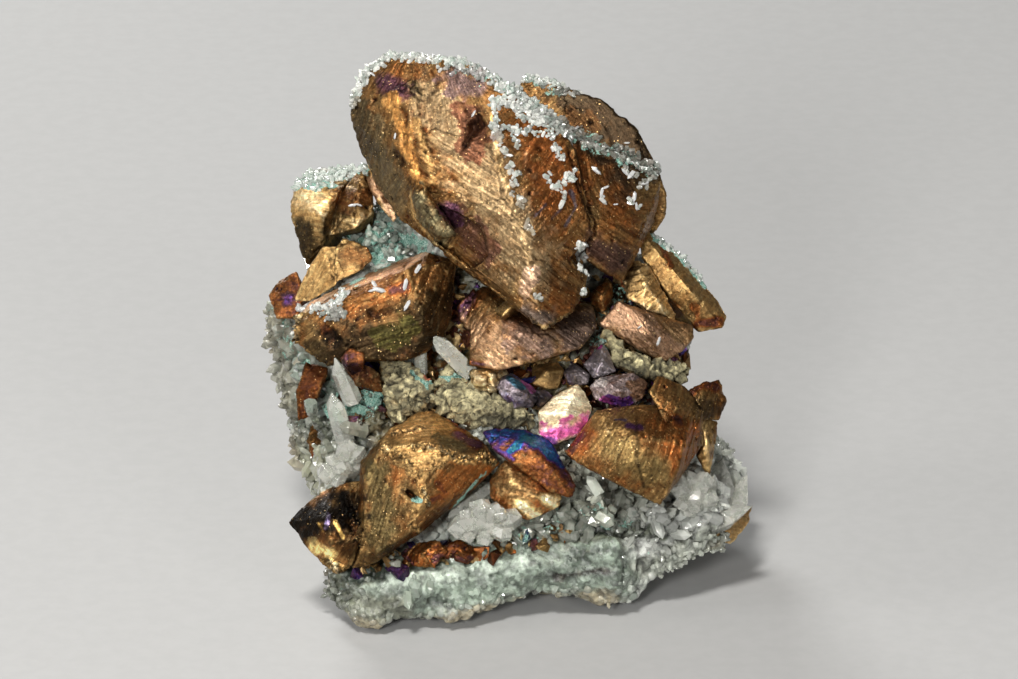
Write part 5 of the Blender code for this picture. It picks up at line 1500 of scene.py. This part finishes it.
def mound_colour(places, spots, ragged, fronts, seed):
    """The mound's own colour, with its stains and its patches of painted shade on the front."""
    tint = np.tile(np.array(MOUND_COLOUR), (len(places), 1))
    tint[:, :3] += waves(places / 5.0, seed + 4, 3)[:, None] * np.array((0.10, 0.09, 0.08))
    tint[:, :3] *= (1 + 0.4 * waves(places / 11.0, seed + 18, 2))[:, None]
    brown = smooth_step(0.05, 0.5, waves(places / 6.5, seed + 5, 4))[:, None]
    tint[:, :3] += (np.array(MOUND_BROWN) - tint[:, :3]) * brown * 0.85
    pale = smooth_step(0.2, 0.6, waves(places / 8.0, seed + 19, 3))[:, None]
    tint[:, :3] += (np.array(MOUND_PALE) - tint[:, :3]) * pale * 0.8
    for stain, reach, line in MOUND_STAINS_AND_SHADE:
        away = distance_to_line(spots, line) / reach + ragged * 0.4
        strength = ((1 - smooth_step(0.5, 1.2, away)) * fronts)[:, None]
        tint[:, :3] += (np.array(stain) - tint[:, :3]) * strength
    return tint


def carve_matrix(material, grid):
    """The quartz mound, grainy where small crystals grew and beaded along its front rim."""
    seed = MOUND_SEED
    skin = mound_skin("quartz_matrix", "quartz_mound", grid)
    skin.soften(4, np.full(skin.count, 0.4))
    places = skin.places / MM
    spots = to_board(skin.places)[:, :2]
    fronts = smooth_step(-0.3, 0.2, board_direction(skin.normals())[:, 2])
    ragged = waves(places / 1.6, seed + 1, 3)
    beads = painted(spots, ragged, BEADED) * fronts
    first, _, _, _ = nearest_cells(places / BEAD_SPACING, seed + 2)
    rounded = np.sqrt(np.maximum(0, 1 - (first / BEAD_RADIUS) ** 2)) * BEAD_HEIGHT
    broad, _, _ = shards(places, MOUND_FACETS[0], FACET_TILT, seed + 8)
    facets, _, own = shards(places, MOUND_FACETS[1], FACET_TILT, seed + 12)
    base = painted(spots, ragged, BASE) * fronts
    height = broad * 0.9 + facets * 0.75 * (1 - 0.9 * base)
    height = height * (1 - beads) + rounded * beads - 0.2
    height += base * (1 - beads) * waves(places / 1.9, seed + 16, 3) * 0.45
    height += waves(places / 4.0, seed + 3, 3) * 0.3 + waves(places / 0.8, seed + 9, 2) * 0.1
    low = smooth_step(0.3, 1.2, places[:, 2])
    skin.raise_by(height * low)
    skin.places[:, 2] = np.maximum(skin.places[:, 2], 0)
    hollow = skin.hollowness(6)
    coat = painted(spots, ragged, DUSTED) * fronts
    coat = np.maximum(coat, 0.5 * (1 - base) * smooth_step(0.45, 0.85, waves(places / 4.2, seed + 6, 3)))
    broken = painted(spots, ragged, BROKEN) * fronts
    behind = smooth_step(0.25, 0.7, waves(places / 6.5, seed + 15, 2)) * (1 - fronts)
    bladed = painted(spots, ragged, BLADED) * fronts
    tint = mound_colour(places, spots, ragged, fronts, seed)
    streaks = waves(np.stack([spots[:, 0] / 4.5, spots[:, 1] / 0.8, ragged], axis=1), seed + 17, 3)
    tint[:, :3] *= (1 + 0.75 * base * streaks)[:, None]
    skin.keep("tint", tint)
    skin.keep("coat", coat)
    hollow_shade = 0.95 - 0.65 * smooth_step(0.0, 0.22, hollow) * (1 - 0.45 * base)
    skin.keep("shade", hollow_shade * (0.9 + 0.45 * (own - 0.4) * (1 - base)))
    sugar = (1 - 0.92 * beads) * (1 - 0.95 * broken) * (1 - 0.6 * bladed)
    sugar *= 1 - 0.85 * base
    sugar *= smooth_step(-0.7, 0.1, waves(places / 3.5, seed + 7, 2))
    # Nothing that sticks out may reach under the foot.
    above = smooth_step(1.2, 2.6, places[:, 2])
    well_above = smooth_step(2.8, 4.2, places[:, 2])
    skin.keep("druse", sugar * above)
    skin.keep("blades", np.maximum(bladed, behind) * well_above)
    rim = painted(spots, ragged, BEADED) * smooth_step(1.3, 1.7, places[:, 2])
    skin.keep("rim", rim * smooth_step(-0.5, 0.0, board_direction(skin.normals())[:, 2]))
    skin.keep("shards", np.maximum(broken, 0.5 * behind) * well_above)
    made = skin.finish(material)
    return made


def clear_piece(name, material, rounding):
    """A clear crystal or cluster with its edges very slightly worn."""
    label = name.replace("_crystal", "_piece").replace("_point", "_piece")
    if name in CLUSTERS:
        shape = bmesh.new()
        for foot, tip, width in CLUSTERS[name]:
            start, end = from_board(*foot), from_board(*tip)
            length = (end - start).length / (1 + GRAIN_ROOT)
            turn = (end - start).to_track_quat("Z", "Y").to_matrix().to_4x4()
            turn.translation = start.lerp(end, GRAIN_ROOT / (1 + GRAIN_ROOT))
            grain = quartz_grain("prism", 6, width * MM, length, False, CLUSTER_SHOULDER)
            grain.data.transform(turn)
            shape.from_mesh(grain.data)
            bpy.data.objects.remove(grain)
    else:
        shape = copied_node(name)
    made = object_of(shape, label)
    bevel = made.modifiers.new("worn", "BEVEL")
    bevel.width = rounding
    bevel.segments = 2
    bevel.limit_method = "ANGLE"
    bevel.angle_limit = SHARP_EDGE
    settle(made)
    made.data.materials.clear()
    made.data.materials.append(material)
    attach(made, "root")
    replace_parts(made, name)
    return made


def quartz_grain(name, sides, width, length, double, shoulder=GRAIN_SHOULDER):
    """A little six-sided crystal along Z, standing in its carrier, or pointed at both ends."""
    shape = bmesh.new()
    rings = []
    heights = [(-0.35, 0.5), (0.35, 0.5)] if double else [(-GRAIN_ROOT, 0.5), (shoulder, 0.47)]
    for level, (height, radius) in enumerate(heights):
        ring = []
        for side in range(sides):
            angle = 2 * math.pi * side / sides
            step = 0.1 * level * (side % 2)
            place = (math.cos(angle) * radius * width, math.sin(angle) * radius * width * 0.85,
                     (height + step) * length)
            ring.append(shape.verts.new(place))
        rings.append(ring)
    for side in range(sides):
        after = (side + 1) % sides
        shape.faces.new((rings[0][side], rings[0][after], rings[1][after], rings[1][side]))
    tip = shape.verts.new((0.06 * width, 0, (0.75 if double else 1.0) * length))
    for side in range(sides):
        shape.faces.new((rings[1][side], rings[1][(side + 1) % sides], tip))
    if double:
        foot = shape.verts.new((0, 0, -0.75 * length))
        for side in range(sides):
            shape.faces.new((rings[0][(side + 1) % sides], rings[0][side], foot))
    else:
        shape.faces.new(list(reversed(rings[0])))
    bmesh.ops.recalc_face_normals(shape, faces=shape.faces)
    return object_of(shape, name)


def ore_grain(name, seed, flat):
    """A broken bit of ore with flat, sharp faces."""
    chance = random.Random(seed)
    shape = bmesh.new()
    for _ in range(9):
        place = Vector([chance.uniform(-1, 1) for _ in range(3)]).normalized()
        shape.verts.new(place * chance.uniform(0.75, 1.0) * Vector((0.62, 0.5, flat)))
    bmesh.ops.convex_hull(shape, input=shape.verts)
    bmesh.ops.recalc_face_normals(shape, faces=shape.faces)
    return object_of(shape, name)


def quartz_bead(name, tall):
    """A rounded bead of quartz."""
    shape = bmesh.new()
    bmesh.ops.create_icosphere(shape, subdivisions=2, radius=0.5)
    for vertex in shape.verts:
        vertex.co.z *= tall
    for each in shape.faces:
        each.smooth = True
    return object_of(shape, name)


def grain_collection(name, grains):
    """A collection of the kinds of grain that a druse is made of."""
    kinds = bpy.data.collections.new(name)
    bpy.context.scene.collection.children.link(kinds)
    for grain in grains:
        bpy.context.scene.collection.objects.unlink(grain)
        kinds.objects.link(grain)
    return kinds


def grain_kinds():
    """The three kinds of grains: quartz prisms, quartz beads and broken bits of ore."""
    prisms = [quartz_grain(f"quartz_grain_{index}", 6, *shape)
              for index, shape in enumerate(PRISM_SHAPES)]
    beads = [quartz_bead(f"quartz_bead_{index}", tall) for index, tall in enumerate(BEAD_SHAPES)]
    bits = [ore_grain(f"ore_grain_{index}", index, flat) for index, flat in enumerate(BIT_SHAPES)]
    return {"prisms": grain_collection("quartz_grains", prisms),
            "beads": grain_collection("quartz_beads", beads),
            "bits": grain_collection("ore_grains", bits)}


def in_metres(values):
    """What the druse's geometry nodes are given, with its lengths in metres."""
    return {key: value * MM if key in ("Spacing", "Size") else value for key, value in values.items()}


def druse_tree():
    """Geometry nodes that grow grains on a carrier, thickest where its mask asks for them."""
    tree = bpy.data.node_groups.new("quartz_druse", "GeometryNodeTree")
    face = tree.interface
    face.new_socket("Geometry", in_out="INPUT", socket_type="NodeSocketGeometry")
    for label, kind, default in [
            ("Mask", "String", "druse"), ("Spacing", "Float", 0.0004), ("Density", "Float", 4e6),
            ("Size", "Float", 0.0005), ("Smallest", "Float", 0.6), ("Tilt", "Float", 0.5),
            ("Sink", "Float", 0.0), ("Dullest", "Float", 0.6), ("Brightest", "Float", 1.15),
            ("Least Film", "Float", 0.1), ("Most Film", "Float", 0.8),
            ("Own Colour", "Bool", False), ("Seed", "Int", 1)]:
        face.new_socket(label, in_out="INPUT", socket_type=f"NodeSocket{kind}").default_value = default
    face.new_socket("Grains", in_out="INPUT", socket_type="NodeSocketCollection")
    face.new_socket("Finish", in_out="INPUT", socket_type="NodeSocketMaterial")
    face.new_socket("Geometry", in_out="OUTPUT", socket_type="NodeSocketGeometry")
    given = tree.nodes.new("NodeGroupInput").outputs
    result = tree.nodes.new("NodeGroupOutput").inputs
    wanted = add(tree, "GeometryNodeInputNamedAttribute", {"Name": given["Mask"]}).outputs["Attribute"]
    spread = add(tree, "GeometryNodeDistributePointsOnFaces", {
        "Mesh": given["Geometry"], "Distance Min": given["Spacing"],
        "Density Max": given["Density"], "Density Factor": wanted, "Seed": given["Seed"]},
        distribute_method="POISSON")
    low = add(tree, "ShaderNodeVectorMath", {0: (-1, -1, 0)}, operation="SCALE")
    tree.links.new(given["Tilt"], low.inputs["Scale"])
    high = add(tree, "ShaderNodeVectorMath", {0: (1, 1, 0)}, operation="SCALE")
    tree.links.new(given["Tilt"], high.inputs["Scale"])
    lean = add(tree, "FunctionNodeRandomValue", {
        0: vector(tree, "ADD", low.outputs[0], (0, 0, -3.14)),
        1: vector(tree, "ADD", high.outputs[0], (0, 0, 3.14)), "Seed": given["Seed"]},
        data_type="FLOAT_VECTOR").outputs[0]
    turned = add(tree, "FunctionNodeRotateRotation", {
        0: spread.outputs["Rotation"],
        1: add(tree, "FunctionNodeEulerToRotation", {0: lean}).outputs[0]}, rotation_space="LOCAL")
    portion = add(tree, "FunctionNodeRandomValue", {
        2: given["Smallest"], 3: 1.0, "Seed": given["Seed"]}, data_type="FLOAT").outputs[1]
    size = number(tree, "MULTIPLY", portion, given["Size"])
    grains = add(tree, "GeometryNodeCollectionInfo", {
        "Collection": given["Grains"], "Separate Children": True, "Reset Children": True}).outputs[0]
    placed = add(tree, "GeometryNodeInstanceOnPoints", {
        "Points": spread.outputs["Points"], "Instance": grains, "Pick Instance": True,
        "Rotation": turned.outputs[0], "Scale": size})
    sunk = add(tree, "GeometryNodeTranslateInstances", {
        "Instances": placed.outputs[0],
        "Translation": add(tree, "ShaderNodeCombineXYZ", {2: given["Sink"]}).outputs[0],
        "Local Space": True}).outputs[0]
    for offset, (label, least, most) in enumerate([
            ("shade", given["Dullest"], given["Brightest"]),
            ("film", given["Least Film"], given["Most Film"])]):
        chance = add(tree, "FunctionNodeRandomValue", {2: least, 3: most, "Seed": offset + 5})
        sunk = add(tree, "GeometryNodeStoreNamedAttribute", {
            "Geometry": sunk, "Name": label, "Value": chance.outputs[1]},
            domain="INSTANCE").outputs[0]
    plain = add(tree, "GeometryNodeStoreNamedAttribute", {
        "Geometry": sunk, "Name": "tint", "Selection": given["Own Colour"]},
        data_type="FLOAT_COLOR", domain="INSTANCE")
    plain.inputs["Value"].default_value = (0, 0, 0, 0)
    real = add(tree, "GeometryNodeRealizeInstances", {0: plain.outputs[0]})
    finish = add(tree, "GeometryNodeSetMaterial", {
        "Geometry": real.outputs[0], "Material": given["Finish"]})
    tree.links.new(finish.outputs[0], result[0])
    return tree


def grow_druse(name, carrier, values, kinds, material):
    """One piece of druse on a carrier, as a plain mesh that rides with it."""
    made = object_of(carrier.data.copy(), name)
    made.data.name = name
    change = made.modifiers.new("druse", "NODES")
    change.node_group = bpy.data.node_groups["quartz_druse"]
    sockets = {item.name: item.identifier for item in change.node_group.interface.items_tree
               if item.in_out == "INPUT"}
    for label, value in {**values, "Grains": kinds, "Finish": material}.items():
        change[sockets[label]] = value
    settle(made)
    if not len(made.data.polygons):
        raise RuntimeError(f"{name} has no grains")
    for layer in [layer.name for layer in made.data.attributes]:
        if layer in ("lines", "blades", "shards", "rim"):
            made.data.attributes.remove(made.data.attributes[layer])
    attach(made, "root")
    return made


def lay_rice(carriers, material):
    """The single grains that lie flat on the crystals' faces, in one piece."""
    shape = bmesh.new()
    way = (from_board(0, 0, -1) - from_board(0, 0, 0)).normalized()
    for name, grains in RICE.items():
        for across, up, turn, length in grains:
            hit, spot, normal, _ = carriers[name].ray_cast(from_board(across, up, ABOVE_BOARD), way)
            if not hit:
                continue
            angle = math.radians(turn)
            along = from_board(math.cos(angle), math.sin(angle), 0) - from_board(0, 0, 0)
            along = (along - normal * along.dot(normal)).normalized()
            grain = quartz_grain("rice", 6, 0.5, 1.0, True)
            stand = along.to_track_quat("Z", "Y").to_matrix().to_4x4()
            stand.translation = spot + normal * RICE_LIFT * MM
            grain.data.transform(stand @ stand.Scale(length * MM * RICE_SHARE, 4))
            shape.from_mesh(grain.data)
            bpy.data.objects.remove(grain)
    made = object_of(shape, "rice_quartz_grains")
    layer = made.data.attributes.new("shade", "FLOAT", "POINT")
    layer.data.foreach_set("value", np.full(len(made.data.vertices), RICE_SHADE, np.float32))
    made.data.attributes.new("tint", "FLOAT_COLOR", "POINT")
    made.data.materials.append(material)
    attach(made, "root")
    return made


# Settings and operators

class PeacockOreSettings(bpy.types.PropertyGroup):
    crystal_grid: bpy.props.FloatProperty(
        name="Crystal grid", description="Spacing of the points on a crystal's skin",
        default=0.28 * MM, min=0.1 * MM, max=1 * MM, precision=5, unit="LENGTH")
    crown_grid: bpy.props.FloatProperty(
        name="Crown grid", description="Spacing of the points on the biggest crystal's skin",
        default=0.36 * MM, min=0.1 * MM, max=1 * MM, precision=5, unit="LENGTH")
    quartz_grid: bpy.props.FloatProperty(
        name="Quartz grid", description="Spacing of the points on the quartz mound's skin",
        default=0.44 * MM, min=0.2 * MM, max=2 * MM, precision=5, unit="LENGTH")
    druse_size: bpy.props.FloatProperty(
        name="Druse size", description="Length of the largest grain on the metallic crystals",
        default=0.85 * MM, min=0.1 * MM, max=3 * MM, precision=5, unit="LENGTH")
    quartz_grain_size: bpy.props.FloatProperty(
        name="Quartz grain size", description="Length of the largest grain on the mound",
        default=1.1 * MM, min=0.1 * MM, max=4 * MM, precision=5, unit="LENGTH")
    edge_rounding: bpy.props.FloatProperty(
        name="Edge rounding", description="How far the clear crystals' edges are worn",
        default=0.05 * MM, min=0, max=0.3 * MM, precision=6, unit="LENGTH")
    floor_colour: bpy.props.FloatVectorProperty(
        name="Floor colour", description="Colour of the floor",
        default=(0.40, 0.40, 0.40), subtype="COLOR", min=0, max=1)
    floor_size: bpy.props.FloatProperty(
        name="Floor size", description="Width of the floor", default=6.0, min=1, unit="LENGTH")
    camera_distance: bpy.props.FloatProperty(
        name="Camera distance", description="From the camera to the middle of the specimen",
        default=0.9, min=0.2, unit="LENGTH")
    key_power: bpy.props.FloatProperty(
        name="Key light", description="Power of the main light", default=6.4, min=0, unit="POWER")


def carve_group(label, slot, grid):
    """Carves the crystals of one group of LOOKS."""
    material = shared_materials()[slot]
    for name, look in LOOKS[label].items():
        made = carve_crystal(name, {**PLAIN, **look}, grid, material)


def shared_materials():
    """The materials, made once."""
    if "quartz_finish" not in bpy.data.materials:
        return make_materials()
    return {material.name.removesuffix("_finish"): material for material in bpy.data.materials}


class PEACOCK_OT_crown(bpy.types.Operator):
    """Carve the biggest crystal on top, with its lobe and the crystal behind it"""
    bl_idname = "peacock_ore.crown"
    bl_label = "Crown Crystals"

    def execute(self, context):
        carve_group("crown", "bronze_chalcopyrite", context.scene.peacock_ore.crown_grid)
        return {"FINISHED"}


class PEACOCK_OT_bronze(bpy.types.Operator):
    """Carve the other bronze crystals"""
    bl_idname = "peacock_ore.bronze"
    bl_label = "Bronze Crystals"

    def execute(self, context):
        carve_group("bronze", "bronze_chalcopyrite", context.scene.peacock_ore.crystal_grid)
        return {"FINISHED"}


class PEACOCK_OT_gold(bpy.types.Operator):
    """Carve the pale gold crystals"""
    bl_idname = "peacock_ore.gold"
    bl_label = "Gold Crystals"

    def execute(self, context):
        carve_group("gold", "gold_chalcopyrite", context.scene.peacock_ore.crystal_grid)
        return {"FINISHED"}


class PEACOCK_OT_peacock(bpy.types.Operator):
    """Carve the crystals with blue, violet and red tarnish"""
    bl_idname = "peacock_ore.peacock"
    bl_label = "Peacock Crystals"

    def execute(self, context):
        carve_group("peacock", "peacock_chalcopyrite", context.scene.peacock_ore.crystal_grid)
        return {"FINISHED"}


class PEACOCK_OT_olive(bpy.types.Operator):
    """Carve the dull olive crystals with their chalky crust"""
    bl_idname = "peacock_ore.olive"
    bl_label = "Olive Crystals"

    def execute(self, context):
        carve_group("olive", "olive_chalcopyrite", context.scene.peacock_ore.crystal_grid)
        return {"FINISHED"}


class PEACOCK_OT_matrix(bpy.types.Operator):
    """Carve the quartz mound that everything grows on"""
    bl_idname = "peacock_ore.matrix"
    bl_label = "Quartz Mound"

    def execute(self, context):
        carve_matrix(shared_materials()["quartz"], context.scene.peacock_ore.quartz_grid)
        return {"FINISHED"}


class PEACOCK_OT_quartz(bpy.types.Operator):
    """Make the clear quartz crystals"""
    bl_idname = "peacock_ore.quartz"
    bl_label = "Clear Quartz Crystals"

    def execute(self, context):
        materials = shared_materials()
        for name in CLEAR_CRYSTALS:
            clear_piece(name, materials["clear_quartz"], context.scene.peacock_ore.edge_rounding)
        return {"FINISHED"}


class PEACOCK_OT_druse(bpy.types.Operator):
    """Grow the quartz grains on the crystals and on the mound"""
    bl_idname = "peacock_ore.druse"
    bl_label = "Quartz Druse"

    def execute(self, context):
        settings, materials = context.scene.peacock_ore, shared_materials()
        finish = materials["druse_quartz"]
        kinds = grain_kinds()
        druse_tree()
        carriers = {o["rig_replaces"][0]: o for o in context.scene.objects if "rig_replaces" in o}
        mound = carriers["quartz_matrix"]
        for index, name in enumerate(DRUSY_CRYSTALS):
            values = {**in_metres(CRYSTAL_DRUSE), "Size": settings.druse_size, "Seed": index + 3}
            grow_druse(f"druse_on_{name}", carriers[name], values, kinds["prisms"], finish)
        for name, kind, values in MOUND_DRUSE:
            values = {"Size": settings.quartz_grain_size, **in_metres(values)}
            grow_druse(name, mound, values, kinds[kind], finish)
        for index, (slot, least, most) in enumerate(ORE_BITS):
            values = {**in_metres(BITS_DRUSE), "Least Film": least, "Most Film": most,
                      "Seed": index + 31}
            label = slot.replace("chalcopyrite", "bits_on_quartz")
            grow_druse(label, mound, values, kinds["bits"], materials[slot])
        lay_rice(carriers, finish)
        for collection in kinds.values():
            for grain in list(collection.objects):
                bpy.data.objects.remove(grain)
            bpy.data.collections.remove(collection)
        return {"FINISHED"}


class PEACOCK_OT_stage(bpy.types.Operator):
    """Set up the pale floor, the soft lights and the camera"""
    bl_idname = "peacock_ore.stage"
    bl_label = "Stage"

    def execute(self, context):
        settings = context.scene.peacock_ore
        make_floor(settings)
        make_lights(settings)
        make_camera(settings)
        return {"FINISHED"}


def make_floor(settings):
    """The pale floor."""
    shape = bmesh.new()
    bmesh.ops.create_grid(shape, x_segments=1, y_segments=1, size=settings.floor_size / 2)
    floor = object_of(shape, "floor")
    material, tree, shader = new_material("pale_floor")
    places = millimetres(tree)
    fine = noise(tree, places, 0.4, 3, 0.6)
    base = mixed(tree, between(tree, fine, 0.3, 0.7, 0.0, 0.04),
                 colour(settings.floor_colour), colour((0.8, 0.8, 0.8)))
    tree.links.new(base, shader["Base Color"])
    shader["Roughness"].default_value = 0.8
    floor.data.materials.append(material)


LIGHT_TARGET = (0, 0, 0.035)
WORLD_COLOUR = (0.80, 0.79, 0.76)
WORLD_STRENGTH = 0.1
SENSOR_WIDTH = 36
# The place on the board that the middle of the photograph shows.
BOARD_MIDDLE = (0.13, 37.8, 0)
# Each light's place, width, share of the key light's power and colour.
LIGHTS = [
    ("key", (-0.14, -0.36, 0.78), 0.16, 0.9, (1.0, 0.98, 0.94)),
    ("near_camera", (-0.24, -0.88, 0.40), 0.18, 0.9, (1.0, 0.99, 0.96)),
    ("front", (0.45, -0.75, 0.35), 0.35, 0.25, (1.0, 0.99, 0.97)),
    ("side", (-0.62, -0.10, 0.34), 0.25, 0.18, (1.0, 0.98, 0.95)),
    ("back", (-0.30, 0.72, 0.42), 0.30, 0.75, (1.0, 1.0, 0.98)),
]


def make_lights(settings):
    """The soft lights and the world."""
    target = Vector(LIGHT_TARGET)
    for name, place, size, share, tone in LIGHTS:
        data = bpy.data.lights.new(name, "AREA")
        data.shape = "DISK"
        data.size = size
        data.energy = settings.key_power * share
        data.color = tone
        light = bpy.data.objects.new(name, data)
        light.location = place
        light.rotation_mode = "QUATERNION"
        light.rotation_quaternion = (target - Vector(place)).to_track_quat("-Z", "Y")
        bpy.context.scene.collection.objects.link(light)
    world = bpy.data.worlds.new("studio")
    world.use_nodes = True
    background = world.node_tree.nodes["Background"].inputs
    background["Color"].default_value = colour(WORLD_COLOUR)
    background["Strength"].default_value = WORLD_STRENGTH
    bpy.context.scene.world = world
    bpy.context.scene.view_settings.view_transform = "Standard"


def make_camera(settings):
    """The camera looks down at the specimen as the photograph does."""
    target = from_board(*BOARD_MIDDLE)
    back = (from_board(0, 0, 1) - from_board(0, 0, 0)).normalized()
    data = bpy.data.cameras.new("camera")
    data.sensor_width = SENSOR_WIDTH
    data.lens = SENSOR_WIDTH * settings.camera_distance / (PHOTO_WIDTH * PIXEL * MM)
    data.clip_start = 0.01
    camera = bpy.data.objects.new("camera", data)
    camera.location = target + back * settings.camera_distance
    camera.rotation_mode = "QUATERNION"
    camera.rotation_quaternion = (-back).to_track_quat("-Z", "Y")
    bpy.context.scene.collection.objects.link(camera)
    bpy.context.scene.camera = camera


OPERATORS = [
    PEACOCK_OT_crown, PEACOCK_OT_bronze, PEACOCK_OT_gold, PEACOCK_OT_peacock,
    PEACOCK_OT_olive, PEACOCK_OT_matrix, PEACOCK_OT_quartz, PEACOCK_OT_druse,
    PEACOCK_OT_stage,
]


class PEACOCK_PT_panel(bpy.types.Panel):
    bl_idname = "PEACOCK_PT_panel"
    bl_label = "Peacock Ore"
    bl_space_type = "VIEW_3D"
    bl_region_type = "UI"
    bl_category = "Peacock Ore"

    def draw(self, context):
        for label in PeacockOreSettings.__annotations__:
            self.layout.prop(context.scene.peacock_ore, label)
        for operator in OPERATORS:
            self.layout.operator(operator.bl_idname)


CLASSES = [PeacockOreSettings, *OPERATORS, PEACOCK_PT_panel]


def register():
    for each in CLASSES:
        bpy.utils.register_class(each)
    bpy.types.Scene.peacock_ore = bpy.props.PointerProperty(type=PeacockOreSettings)


def unregister():
    del bpy.types.Scene.peacock_ore
    for each in reversed(CLASSES):
        bpy.utils.unregister_class(each)


def main():
    register()
    bpy.ops.peacock_ore.crown()
    bpy.ops.peacock_ore.bronze()
    bpy.ops.peacock_ore.gold()
    bpy.ops.peacock_ore.peacock()
    bpy.ops.peacock_ore.olive()
    bpy.ops.peacock_ore.matrix()
    bpy.ops.peacock_ore.quartz()
    bpy.ops.peacock_ore.druse()
    bpy.ops.peacock_ore.stage()


if __name__ == "__main__":
    main()
